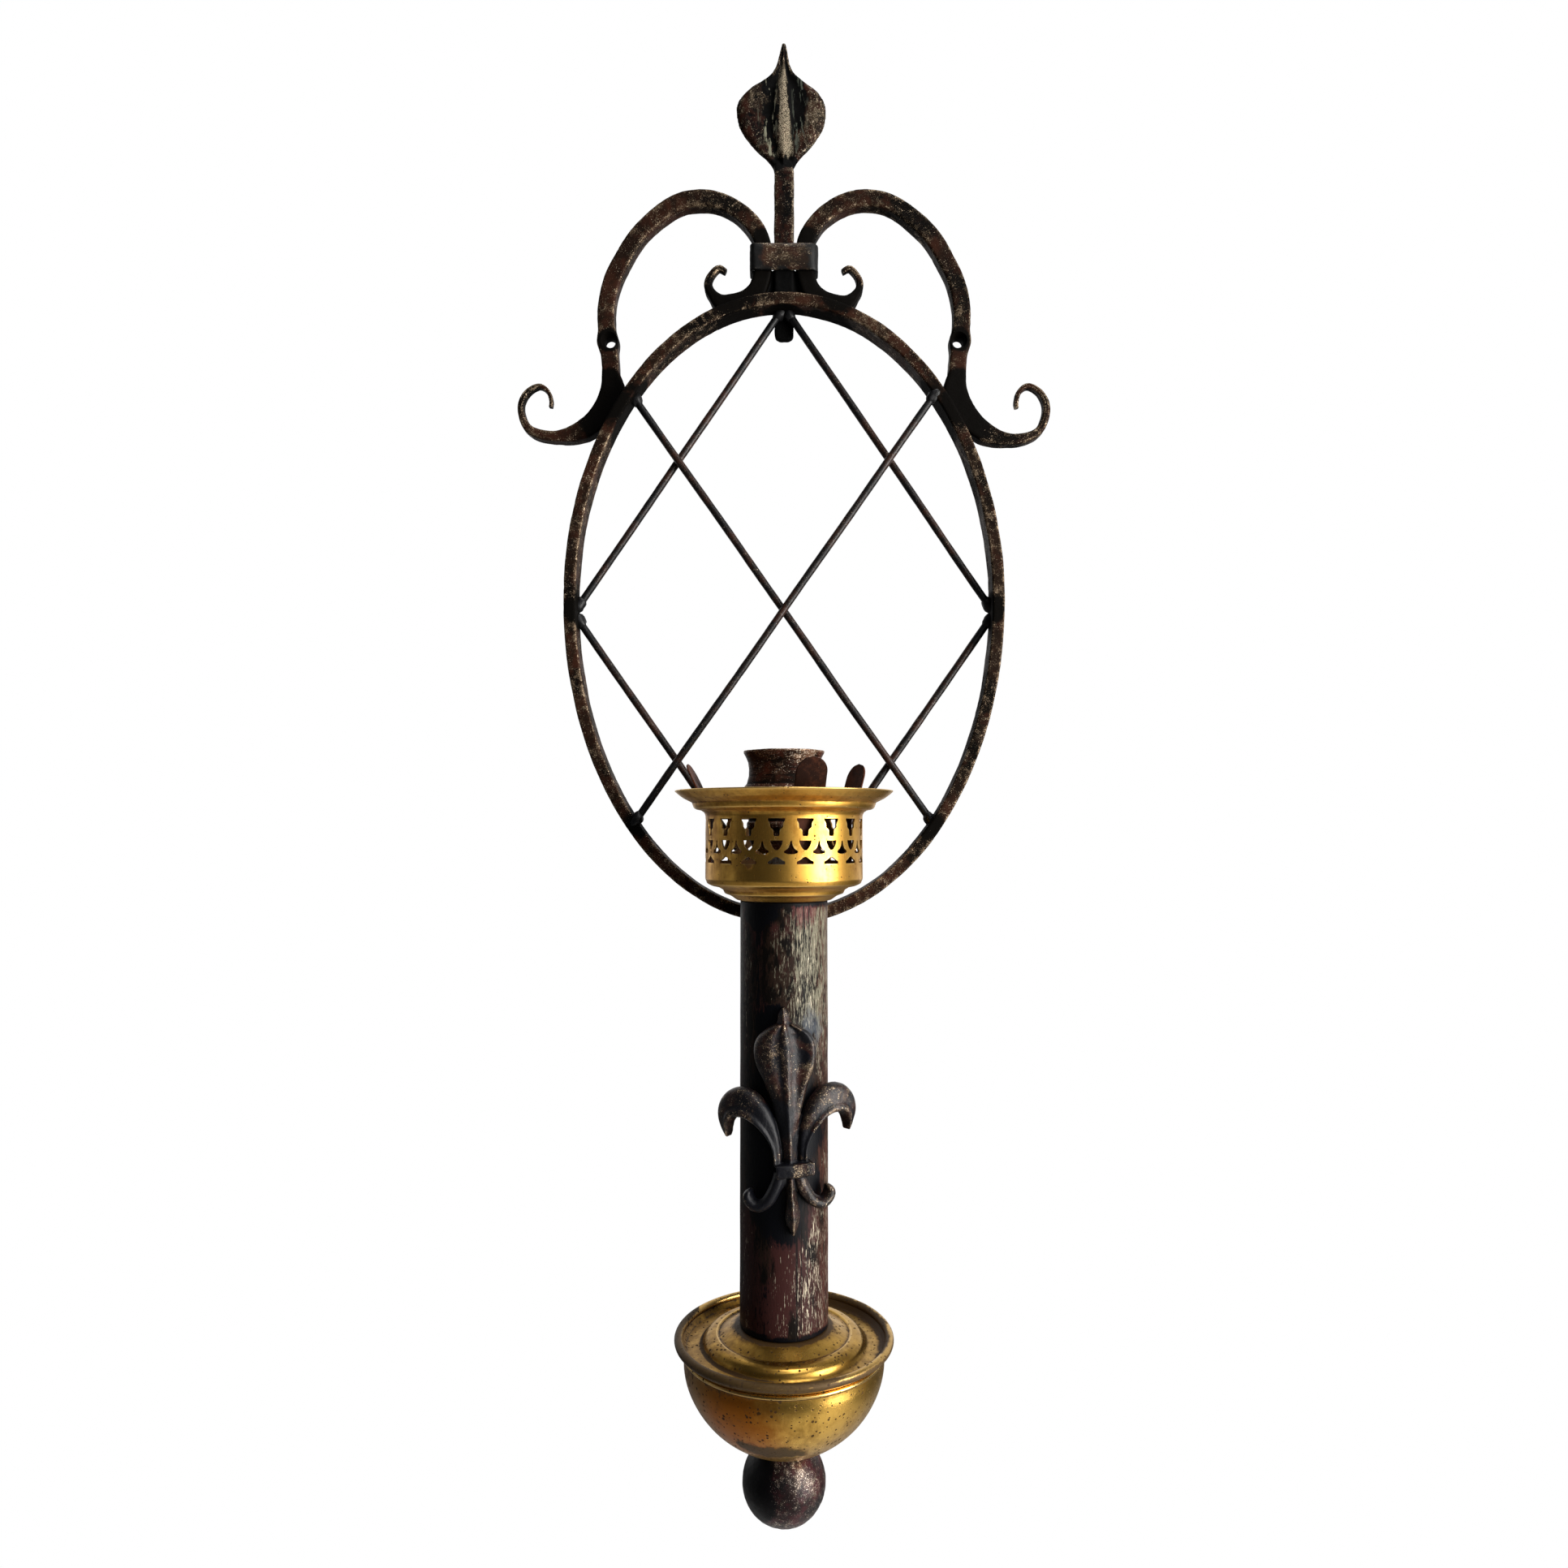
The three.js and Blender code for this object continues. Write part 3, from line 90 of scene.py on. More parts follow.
room = bpy.data.worlds.new("room")
room.use_nodes = True
room.node_tree.nodes.clear()
tree = room.node_tree
ray = put(tree, "LightPath")
towards = put(tree, "TexCoord")
split = put(tree, "SeparateXYZ", {0: towards.outputs["Generated"]})
behind = put(tree, "MapRange", {"Value": split.outputs["Y"], "From Min": 0.1, "From Max": 0.75})
shiny = put(tree, "Math", {0: ray.outputs["Is Glossy Ray"], 1: ray.outputs["Is Transmission Ray"]},
            operation="MAXIMUM")
mirrored = put(tree, "Math", {0: shiny.outputs[0], 1: behind.outputs[0]}, operation="MULTIPLY")
shown = put(tree, "Math", {0: ray.outputs["Is Camera Ray"], 1: mirrored.outputs[0]}, operation="MAXIMUM")
dim = put(tree, "Background", {"Color": (0.93, 0.95, 1, 1), "Strength": 0.035})
white = put(tree, "Background", {"Color": (1, 1, 1, 1), "Strength": 1})
both = put(tree, "MixShader", {0: shown.outputs[0], 1: dim.outputs[0], 2: white.outputs[0]})
put(tree, "OutputWorld", {"Surface": both.outputs[0]})
scene.world = room

floor_mesh = bpy.data.meshes.new("floor")
floor_mesh.from_pydata([(-6, -6, -1.5), (6, -6, -1.5), (6, 6, -1.5), (-6, 6, -1.5)], [], [(0, 1, 2, 3)])
studio_floor = bpy.data.objects.new("floor", floor_mesh)
scene.collection.objects.link(studio_floor)
pale = bpy.data.materials.new("pale_floor")
pale.use_nodes = True
pale.node_tree.nodes.clear()
tree = pale.node_tree
ray = put(tree, "LightPath")
below = put(tree, "VectorMath", {0: put(tree, "NewGeometry").outputs["Position"], 1: (0, -0.05, -1.5)},
            operation="DISTANCE")
clear = put(tree, "MapRange", {"Value": below.outputs["Value"], "From Min": 0.15, "From Max": 0.75,
                               "To Min": 0.72, "To Max": 1}, interpolation_type="SMOOTHSTEP")
seen = put(tree, "Math", {0: ray.outputs["Is Camera Ray"], 1: clear.outputs[0]}, operation="MULTIPLY")
matt = put(tree, "BsdfDiffuse", {"Color": (0.86, 0.86, 0.86, 1)})
lit = put(tree, "Emission", {"Color": (1, 1, 1, 1), "Strength": 1})
both = put(tree, "MixShader", {0: seen.outputs[0], 1: matt.outputs[0], 2: lit.outputs[0]})
put(tree, "OutputMaterial", {"Surface": both.outputs[0]})
floor_mesh.materials.append(pale)

# The oval ring: one flat bar of mild steel bent on edge and butt welded at the top, then stained dark
# brown and rubbed back, so bare metal shows on the corners and the stain stays in the hollows.

ring_half_width = 104.7
ring_above = 147.6
ring_below = 154.2
ring_waist = 2.9 - ring_above
ring_bar = 5.8
ring_back_y = -4.3
ring_front_y = -16.8


def skin(name, rings, loop=False):
    """A closed mesh over a row of rings that all have the same number of points, in millimetres."""
    count = len(rings[0])
    points = [Vector(p) * MM for ring in rings for p in ring]
    faces = []
    for i in range(len(rings) if loop else len(rings) - 1):
        a = i * count
        b = (i + 1) % len(rings) * count
        for j in range(count):
            k = (j + 1) % count
            faces.append((a + j, a + k, b + k, b + j))
    if not loop:
        last = (len(rings) - 1) * count
        faces.append(tuple(reversed(range(count))))
        faces.append(tuple(range(last, last + count)))
    mesh = bpy.data.meshes.new(name)
    mesh.from_pydata(points, [], faces)
    made = bpy.data.objects.new(name, mesh)
    scene.collection.objects.link(made)
    return made


def tidy(piece, crease=38):
    """Welds doubled points, turns the faces outwards and keeps edges over crease degrees sharp."""
    bm = bmesh.new()
    bm.from_mesh(piece.data)
    bmesh.ops.remove_doubles(bm, verts=bm.verts, dist=0.01 * MM)
    bmesh.ops.recalc_face_normals(bm, faces=bm.faces)
    bm.to_mesh(piece.data)
    bm.free()
    piece.data.shade_smooth()
    piece.data.set_sharp_from_angle(angle=math.radians(crease))
    return piece


def fused(name, pieces):
    """Several meshes as one piece, with their forms left as they are."""
    bm = bmesh.new()
    for piece in pieces:
        bm.from_mesh(piece.data)
        bpy.data.objects.remove(piece)
    mesh = bpy.data.meshes.new(name)
    bm.to_mesh(mesh)
    bm.free()
    made = bpy.data.objects.new(name, mesh)
    scene.collection.objects.link(made)
    return made


def forged(piece, height, size, seed, deep=0):
    """Moves the surface in and out a little, as hammer and file leave it. Sizes are in millimetres."""
    mesh = piece.data
    places = [v.co.copy() for v in mesh.vertices]
    normals = [n.vector.copy() for n in mesh.vertex_normals]
    moved = []
    for place, normal in zip(places, normals):
        at = place / (size * MM) + Vector((seed, 2 * seed, 3 * seed))
        lift = noise.noise(at) * height
        if deep:
            lift -= max(0, noise.noise(at * 3.1) - 0.42) * deep
        moved.extend(place + normal * lift * MM)
    mesh.vertices.foreach_set("co", moved)
    mesh.update()
    return piece


def flat_back(piece):
    """Keeps a piece in front of the wall, as its back is dressed flat."""
    for corner in piece.data.vertices:
        corner.co.y = min(corner.co.y, -0.05 * MM)


def mark_turns(piece, reach=1.2, blur=2, worn_and_highlit=()):
    """Notes how sharply the surface turns at each point: 1 on a worn corner, -1 in a tight hollow. The rubbed
    places add spots that hands have worn, and spots lightened as painted highlight, as x, y, z, reach and how
    much."""
    mesh = piece.data
    count = len(mesh.vertices)
    place = np.empty(count * 3)
    mesh.vertices.foreach_get("co", place)
    place = place.reshape(-1, 3)
    normal = np.array([v.vector for v in mesh.vertex_normals])
    ends = np.empty(len(mesh.edges) * 2, int)
    mesh.edges.foreach_get("vertices", ends)
    a, b = ends.reshape(-1, 2).T
    step = place[a] - place[b]
    square = np.maximum((step * step).sum(1), 1e-12)
    tally = np.bincount(a, minlength=count) + np.bincount(b, minlength=count)
    tally = np.maximum(tally, 1)
    turn = np.bincount(a, 2 * (step * normal[a]).sum(1) / square, count)
    turn -= np.bincount(b, 2 * (step * normal[b]).sum(1) / square, count)
    turn = np.clip(turn / tally * reach * MM, -1, 1)
    for _ in range(blur):
        near = np.bincount(a, turn[b], count) + np.bincount(b, turn[a], count)
        turn = (turn + near / tally) / 2
    for x, y, z, size, much in worn_and_highlit:
        away = np.sqrt(((place / MM - (x, y, z)) ** 2).sum(1)) / size
        turn += much * np.clip(1.4 - away, 0, 1)
    mesh.attributes.new("turn", "FLOAT", "POINT").data.foreach_set("value", turn.astype(np.float32))
    return piece


def mark_soot_and_shade(piece, spots, circles=(), inside=None):
    """Notes how close each point is to a weld or a grimy corner, where flux and stain stay black, and to
    places darkened as painted shade. Spots are x, y, z, reach. Circles run round the column as radius, z,
    reach, first and last angle from the right. inside is the radius, foot and top of a wall whose inner face
    is darkened all over."""
    mesh = piece.data
    place = np.array([v.co for v in mesh.vertices]) / MM
    soot_and_shade = np.zeros(len(place))
    for x, y, z, reach in spots:
        away = np.sqrt(((place - (x, y, z)) ** 2).sum(1)) / reach
        soot_and_shade = np.maximum(soot_and_shade, np.clip(1.25 - away, 0, 1))
    for radius, z, reach, first, last in circles:
        away = np.hypot(np.hypot(place[:, 0], place[:, 1] - axis_y) - radius, place[:, 2] - z) / reach
        turn = (np.degrees(np.arctan2(place[:, 1] - axis_y, place[:, 0])) - first) % 360
        away += np.clip(turn - (last - first), 0, 360) / 30
        soot_and_shade = np.maximum(soot_and_shade, np.clip(1.25 - away, 0, 1))
    if inside:
        within = np.hypot(place[:, 0], place[:, 1] - axis_y) < inside[0]
        soot_and_shade[within & (place[:, 2] > inside[1]) & (place[:, 2] < inside[2])] = 1
    mesh.attributes.new("soot_and_shade", "FLOAT", "POINT").data.foreach_set("value", soot_and_shade.astype(np.float32))
    return piece


def shader_group(name, takes, gives):
    """An empty node group with its named inputs and outputs."""
    group = bpy.data.node_groups.new(name, "ShaderNodeTree")
    for label, kind, value in takes:
        socket = group.interface.new_socket(label, in_out="INPUT", socket_type="NodeSocket" + kind)
        if value is not None:
            socket.default_value = value
    for label, kind in gives:
        group.interface.new_socket(label, in_out="OUTPUT", socket_type="NodeSocket" + kind)
    return group, group.nodes.new("NodeGroupInput"), group.nodes.new("NodeGroupOutput")


def cloud(tree, vector, scale, detail=3, roughness=0.55, distortion=0):
    made = put(tree, "TexNoise", {"Vector": vector, "Scale": scale, "Detail": detail,
                                  "Roughness": roughness, "Distortion": distortion})
    return made.outputs["Fac"]


def step_up(tree, value, low, high):
    made = put(tree, "MapRange", {"Value": value, "From Min": low, "From Max": high},
               interpolation_type="SMOOTHSTEP")
    return made.outputs[0]


def sum_of(tree, *terms):
    """Adds up pairs of a value and its weight."""
    total = None
    for value, weight in terms:
        part = put(tree, "Math", {0: value, 1: weight}, operation="MULTIPLY").outputs[0]
        total = part if total is None else put(tree, "Math", {0: total, 1: part}, operation="ADD").outputs[0]
    return total


def product(tree, a, b):
    return put(tree, "Math", {0: a, 1: b}, operation="MULTIPLY").outputs[0]


def largest(tree, a, b):
    return put(tree, "Math", {0: a, 1: b}, operation="MAXIMUM").outputs[0]


def tint(tree, share, below, above):
    """The colour below where share is 0, and the one above where it is 1."""
    return put(tree, "Mix", {0: share, 6: below, 7: above}, data_type="RGBA").outputs[2]


def level(tree, share, below, above):
    return put(tree, "Mix", {0: share, 2: below, 3: above}, data_type="FLOAT").outputs[0]


def corners_and_hollows(tree, turn):
    """Parts the turn of the surface into its worn corners and its tight hollows."""
    return largest(tree, turn, 0), largest(tree, product(tree, turn, -1), 0)


def blank_finish(name):
    """A new material, with its tree of nodes and its surface shader."""
    made = bpy.data.materials.new(name)
    made.use_nodes = True
    return made, made.node_tree, made.node_tree.nodes["Principled BSDF"]


def emboss(tree, surface, height, strength, distance):
    """Gives a surface its fine relief. distance is in millimetres."""
    raised = put(tree, "Bump", {"Height": height, "Strength": strength, "Distance": distance * MM})
    tree.links.new(raised.outputs[0], surface.inputs["Normal"])


# Stain that was rubbed back: outputs say where bare metal, warm rust, black stain and bright specks show, and
# how high the surface stands. Painted highlights marked on a piece come out with the bare metal and specks,
# and painted shade with the black stain.
patina, takes, gives = shader_group("rubbed_patina", [
    ("Vector", "Vector", None), ("Patch", "Float", 60.0), ("Grain", "Float", 1500.0),
    ("Bare", "Float", 0.0), ("Edge", "Float", 0.3), ("Turn", "Float", 0.0), ("Soot_and_shade", "Float", 0.0),
], [("Bare", "Float"), ("Warm", "Float"), ("Black", "Float"), ("Speck", "Float"), ("Height", "Float")])
at = takes.outputs["Vector"]
patches = cloud(patina, at, takes.outputs["Patch"], 3, 0.6)
spots_scale = product(patina, takes.outputs["Patch"], 5)
spots = cloud(patina, at, spots_scale, 4, 0.65, 0.4)
grains = cloud(patina, at, takes.outputs["Grain"], 2, 0.7)
shifted = put(patina, "VectorMath", {0: at, 1: (0.31, 0.17, 0.53)}, operation="ADD").outputs[0]
warm = cloud(patina, shifted, product(patina, takes.outputs["Patch"], 1.6), 4, 0.6, 0.6)
black = cloud(patina, shifted, product(patina, takes.outputs["Patch"], 0.7), 3, 0.55, 0.3)
fine = cloud(patina, shifted, product(patina, takes.outputs["Grain"], 0.9), 3, 0.7)
outer, inner = corners_and_hollows(patina, takes.outputs["Turn"])
edge = product(patina, outer, takes.outputs["Edge"])
worn_and_highlit = sum_of(patina, (grains, 0.36), (spots, 0.42), (patches, 0.22), (edge, 1.0),
                (takes.outputs["Bare"], 1.0), (takes.outputs["Soot_and_shade"], -0.35), (inner, -0.3))
patina.links.new(step_up(patina, worn_and_highlit, 0.50, 0.62), gives.inputs["Bare"])
patina.links.new(step_up(patina, warm, 0.42, 0.62), gives.inputs["Warm"])
stain = sum_of(patina, (black, 0.7), (spots, 0.3), (takes.outputs["Soot_and_shade"], 0.6), (inner, 0.8), (edge, -0.3))
patina.links.new(step_up(patina, stain, 0.455, 0.60), gives.inputs["Black"])
glints = sum_of(patina, (fine, 0.8), (spots, 0.25), (edge, 0.7), (takes.outputs["Bare"], 0.6),
                (takes.outputs["Soot_and_shade"], -0.25), (inner, -0.3))
patina.links.new(step_up(patina, glints, 0.615, 0.675), gives.inputs["Speck"])
relief = sum_of(patina, (grains, 0.25), (spots, 0.6), (patches, 0.5))
patina.links.new(relief, gives.inputs["Height"])


def iron_finish(name, brown, rust, soot_and_shade, bare, speck, patch=60, grain=1500, bareness=0, edge=0.3,
                rough=0.5, stretch=(1, 1, 1), bump=0.5, sheen=0.03):
    """Stained iron. Colours run from the stain to the rubbed metal. bareness is how much has been rubbed,
    and sheen how much the wax on it mirrors."""
    made, tree, surface = blank_finish(name)
    surface.inputs["Specular IOR Level"].default_value = sheen
    where = put(tree, "TexCoord").outputs["Object"]
    where = put(tree, "VectorMath", {0: where, 1: stretch}, operation="MULTIPLY").outputs[0]
    turn = put(tree, "Attribute", attribute_name="turn").outputs["Fac"]
    soot_and_shade_share = put(tree, "Attribute", attribute_name="soot_and_shade").outputs["Fac"]
    wear = put(tree, "Group", node_tree=patina)
    for label, value in (("Patch", patch), ("Grain", grain), ("Bare", bareness), ("Edge", edge)):
        wear.inputs[label].default_value = value
    for label, value in (("Vector", where), ("Turn", turn), ("Soot_and_shade", soot_and_shade_share)):
        tree.links.new(value, wear.inputs[label])
    colour = tint(tree, wear.outputs["Warm"], (*brown, 1), (*rust, 1))
    colour = tint(tree, wear.outputs["Black"], colour, (*soot_and_shade, 1))
    colour = tint(tree, wear.outputs["Bare"], colour, (*bare, 1))
    colour = tint(tree, wear.outputs["Speck"], colour, (*speck, 1))
    tree.links.new(colour, surface.inputs["Base Color"])
    shine = level(tree, wear.outputs["Black"], rough, min(0.85, rough * 1.5))
    shine = level(tree, wear.outputs["Bare"], shine, rough * 0.8)
    tree.links.new(shine, surface.inputs["Roughness"])
    metal = largest(tree, wear.outputs["Bare"], wear.outputs["Speck"])
    tree.links.new(level(tree, metal, 0, 0.5), surface.inputs["Metallic"])
    emboss(tree, surface, wear.outputs["Height"], bump, 0.5)
    return made


def oval_point(angle, inset):
    wide = ring_half_width - inset
    high = (ring_above if math.sin(angle) > 0 else ring_below) - inset
    return wide * math.cos(angle), ring_waist + high * math.sin(angle)


def rounded_section(across, deep, radius, across_steps, deep_steps):
    """Points round a bar's section from its right side, close enough to show its worn corners."""
    corners = []
    for cx, cy, start in ((1, 1, 0), (-1, 1, 90), (-1, -1, 180), (1, -1, 270)):
        for turn in (0, 30, 60, 90):
            a = math.radians(start + turn)
            corners.append((cx * (across / 2 - radius) + radius * math.cos(a),
                            cy * (deep / 2 - radius) + radius * math.sin(a)))
    points = []
    for i, (x0, y0) in enumerate(corners):
        x1, y1 = corners[(i + 1) % 16]
        steps = 1 if i % 4 < 3 else (across_steps, deep_steps)[i // 4 % 2]
        points += [(x0 + (x1 - x0) * s / steps, y0 + (y1 - y0) * s / steps) for s in range(steps)]
    return points


section = rounded_section(ring_bar, ring_back_y - ring_front_y, 0.9, 5, 13)
ring_rings = []
for i in range(560):
    angle = 2 * math.pi * i / 560
    around = []
    for inset, deep in section:
        x, z = oval_point(angle, ring_bar / 2 - inset)
        around.append((x, (ring_back_y + ring_front_y) / 2 + deep, z))
    ring_rings.append(around)
ring = tidy(skin("ring_of_flat_bar", ring_rings, loop=True))
forged(ring, 0.22, 14, 1)
forged(ring, 0.09, 2.2, 5, deep=0.5)
tidy(ring)
mark_turns(ring)
mark_soot_and_shade(ring, [(5.5, -10, 1, 5), (0, -6, -5, 9), (-26, -6, 2, 13), (26, -6, 2, 13), (-81, -4, -52, 15),
                 (81, -4, -52, 15), (-98.5, -10, -150.3, 8), (98.5, -10, -150.3, 8), (-71.5, -10, -45, 7),
                 (71.5, -10, -45, 7), (-69.5, -10, -253, 8), (69.5, -10, -253, 8)])
ring.data.materials.append(iron_finish(
    "ring_iron", (0.012, 0.0065, 0.004), (0.028, 0.0105, 0.006), (0.002, 0.0016, 0.0012),
    (0.135, 0.094, 0.060), (0.46, 0.36, 0.25), patch=60, grain=1900, bareness=-0.02, edge=0.10))
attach(ring, "wall_frame")
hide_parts("oval_ring")

# Six lattice rods: round 3.6 mm wire, each end stuck to the ring with a small dark weld. The long crossed
# pair lies in front, one over the other, and the four short ones make a diamond behind them.

rod_radius = 1.8
seat_gap = 0.3
bead_length, bead_width = 4.6, 3.0
rod_middle = (ring_back_y + ring_front_y) / 2
side_z = ring_waist - 5.6
rod_iron = iron_finish(
    "rod_iron", (0.010, 0.007, 0.006), (0.028, 0.012, 0.008), (0.002, 0.002, 0.0025), (0.12, 0.09, 0.065),
    (0.34, 0.27, 0.20), patch=90, grain=2200, bareness=-0.075, edge=0.04, rough=0.30, sheen=0.25)


def weld_bead(at, along, length, width, seed):
    """A lump of weld metal round a rod's end, longest along the rod."""
    turn = along.to_track_quat("X", "Y")
    rings = []
    for i in range(1, 12):
        polar = math.pi * i / 12
        ring_here = []
        for j in range(18):
            a = 2 * math.pi * j / 18
            p = Vector((math.cos(polar) * length, math.sin(polar) * math.cos(a) * width,
                        math.sin(polar) * math.sin(a) * width))
            p *= 1 + 0.22 * noise.noise(p * 0.45 + Vector((seed, 0, 0)))
            ring_here.append(at + turn @ p)
        rings.append(ring_here)
    return skin("bead", rings)


def lattice_rod(name, node, start, end, layer, seed):
    y = rod_middle + layer * (2 * rod_radius + seat_gap)
    start, end = Vector((start[0], y, start[1])), Vector((end[0], y, end[1]))
    run = end - start
    along = run.normalized()
    across = along.cross(Vector((0, 1, 0)))
    steps = round(run.length / 1.6)
    rings = []
    for i in range(steps + 1):
        at = start + run * i / steps
        sway = 0.35 * noise.noise(at * 0.02 + Vector((seed, 0, 0)))
        thick = rod_radius * (1 + 0.05 * noise.noise(at * 0.15))
        rings.append([at + across * (sway + thick * math.cos(a)) + Vector((0, thick * math.sin(a), 0))
                      for a in (2 * math.pi * j / 14 for j in range(14))])
    beads = [weld_bead(start, along, bead_length, bead_width, seed),
             weld_bead(end, along, bead_length, bead_width, seed + 4)]
    rod = tidy(fused(name, [skin("wire", rings), *beads]), 60)
    mark_turns(rod)
    mark_soot_and_shade(rod, [(*start, 12), (*end, 12)])
    rod.data.materials.append(rod_iron)
    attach(rod, "wall_frame")
    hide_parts(node)


for word, side in (("left", -1), ("right", 1)):
    for height, end in (("top", 1), ("bottom", -1)):
        tip = oval_point(end * math.pi / 2, ring_bar)
        corner = (side * (ring_half_width - ring_bar), side_z + end * 3.6)
        lattice_rod(f"diamond_rod_{height}_{word}", f"lattice_rod_{height}_{word}",
                    (side * 1.9, tip[1]), corner, 1, 3 * side + end)
    up = oval_point(math.radians(43.5), ring_bar)
    down = oval_point(math.radians(-45.3), ring_bar)
    lattice_rod(f"cross_rod_{word}", f"lattice_rod_cross_{word}", (side * up[0], up[1]),
                (-side * down[0], down[1]), -1 if side > 0 else 0, 9 * side)

# Two scrolls of 8 mm square bar, drawn out thin at both ends, arched over and curled. Weld metal fills
# the wedge where each runs onto the ring. A countersunk hole for a wall screw goes through its outer limb.

bar_width = 8.4
bar_deep = 8
stem_half = 4.8
bar_gap = 1.1
bar_side = stem_half + bar_gap + bar_width / 2
collar_middle = 24.1
contact_x, contact_z = 85, -40.5
hole_z = -16.8
hole_radius, sink_radius = 2.5, 4.2
small_curl = [(0.683, 0.27), (0.812, 0.19), (0.948, 0.373), (1, 0.587), (0.941, 0.821), (0.771, 1),
              (0.55, 1), (0.317, 0.91), (0.133, 0.697), (0.03, 0.353), (0, 0)]
arch = [(0.004, 0.76), (0.043, 0.833), (0.113, 0.902), (0.212, 0.959), (0.31, 0.991), (0.398, 1),
        (0.512, 0.989), (0.608, 0.955), (0.71, 0.895), (0.801, 0.826), (0.868, 0.754), (0.926, 0.668),
        (0.972, 0.595), (1.005, 0.513), (1.022, 0.432), (1.024, 0.359), (1.016, 0.284), (1.008, 0.218),
        (0.997, 0.148), (0.993, 0.076)]
large_curl = [(0, 0), (0.069, 0.313), (0.184, 0.614), (0.31, 0.803), (0.458, 0.944), (0.613, 1),
              (0.804, 0.944), (0.931, 0.79), (1, 0.5), (0.998, 0.25), (0.925, 0.03), (0.8, -0.085),
              (0.7, 0.03), (0.665, 0.23), (0.672, 0.36)]
small_width = [(0, 0.3), (0.2, 0.38), (0.5, 0.56), (0.7, 0.72), (1, 1)]
large_width = [(0, 1), (0.08, 0.9), (0.25, 0.7), (0.5, 0.44), (0.75, 0.28), (1, 0.24)]
small_fill = [(0, 0), (0.42, 0), (0.52, 0.8), (0.7, 1), (0.85, 0.3), (1, 0)]
large_fill = [(0, 0.9), (0.1, 1), (0.22, 0.8), (0.34, 0), (1, 0)]


def read(table, share):
    """The value at a share of the way along a table of share and value."""
    for (s0, v0), (s1, v1) in zip(table, table[1:]):
        if share <= s1:
            return v0 + (v1 - v0) * max(0, share - s0) / (s1 - s0)
    return table[-1][1]


def through(points, place):
    """A smooth line through points, at place counted in points, with its direction."""
    i = min(int(place), len(points) - 2)
    t = place - i
    p = [Vector(points[min(max(k, 0), len(points) - 1)]) for k in (i - 1, i, i + 1, i + 2)]
    v0, v1 = (p[2] - p[0]) / 2, (p[3] - p[1]) / 2
    a, b = 2 * (p[1] - p[2]) + v0 + v1, 3 * (p[2] - p[1]) - 2 * v0 - v1
    return a * t ** 3 + b * t ** 2 + v0 * t + p[1], 3 * a * t ** 2 + 2 * b * t + v0


def cut_out(piece, tools):
    """Cuts the closed meshes in tools out of a piece."""
    for tool in tools:
        cut = piece.modifiers.new("cut", "BOOLEAN")
        cut.object = tool
        cut.operation = "DIFFERENCE"
        cut.solver = "EXACT"
    bpy.context.view_layer.update()
    whole = piece.evaluated_get(bpy.context.evaluated_depsgraph_get())
    mesh = bpy.data.meshes.new_from_object(whole)
    piece.modifiers.clear()
    piece.data = mesh
    for tool in tools:
        bpy.data.objects.remove(tool)
    return piece


def rod_along_y(x, z, profile, facets=32):
    """A turned tool that lies front to back. profile pairs a radius with a y."""
    rings = [[(x + r * math.cos(a), y, z + r * math.sin(a))
              for a in (2 * math.pi * j / facets for j in range(facets))] for r, y in profile]
    return tidy(skin("tool", rings))


def scroll(side):
    small = [(bar_side + 27.1 * s, collar_middle - 20.4 * d) for s, d in small_curl]
    rise = 54.5 - contact_z
    middle = [(bar_side + (contact_x - bar_side) * s, contact_z + rise * d) for s, d in arch]
    sag = 24.8 if side > 0 else 23.3
    reach = 42.5 if side > 0 else 43
    large = [(contact_x + reach * s, contact_z - sag * d) for s, d in large_curl]
    points = small + middle + large
    last = len(points) - 1
    small_last, large_first = len(small) - 1, len(small) + len(middle)
    rings = []
    place = 0.0
    while place < last:
        at, ahead = through(points, place)
        speed = ahead.length
        ahead.normalize()
        deep, inner, outer = bar_deep, bar_width / 2, bar_width / 2
        if place <= small_last:
            share = place / small_last
            inner = read(small_width, share) * bar_width / 2
            outer = inner + read(small_fill, share) * 4
            deep = 3.4 + 4.6 * min(1, share * 2)
        elif place >= large_first:
            share = (place - large_first) / (last - large_first)
            outer = read(large_width, share) * bar_width / 2
            inner = outer + read(large_fill, share) * 4
            deep = 8 - 4.6 * max(0, share * 1.5 - 0.5)
        else:
            near = max(0, 1 - abs(at.y - hole_z) / 7)
            outer = bar_width / 2 + (near * near * (3 - 2 * near)) * 1.1
            inner = outer + max(0, 1 - (at.y - contact_z) / bar_width) * 3.6
        wide = outer + inner
        shift = (outer - inner) / 2
        outline = rounded_section(wide, deep, min(1.15, wide / 3, deep / 3), 7, 7)
        rings.append([(side * (at.x - ahead.y * (u + shift)), v - bar_deep / 2,
                       at.y + ahead.x * (u + shift)) for u, v in outline])
        place += 1.15 / speed
    bar = tidy(skin("scroll", rings))
    forged(bar, 0.36, 16, 7 + side)
    forged(bar, 0.10, 2.4, 2, deep=0.5)
    x = side * contact_x
    bar = cut_out(bar, [rod_along_y(x, hole_z, [
        (hole_radius, 3), (hole_radius, -bar_deep + 3.4), (sink_radius, -bar_deep),
        (sink_radius, -bar_deep - 3)])])
    tidy(bar)
    flat_back(bar)
    mark_turns(bar, reach=1.5)
    mark_soot_and_shade(bar, [(side * 81, -6, -52, 17), (side * 88, -6, -42, 11), (side * 13, -6, 8, 17),
                    (side * 26, -7, 3, 13), (side * 10, -6, 14, 12), (side * 10, -4, 19, 16),
                    (side * 10, -4, 34, 6), (x, -8, hole_z, 5)])
    return bar


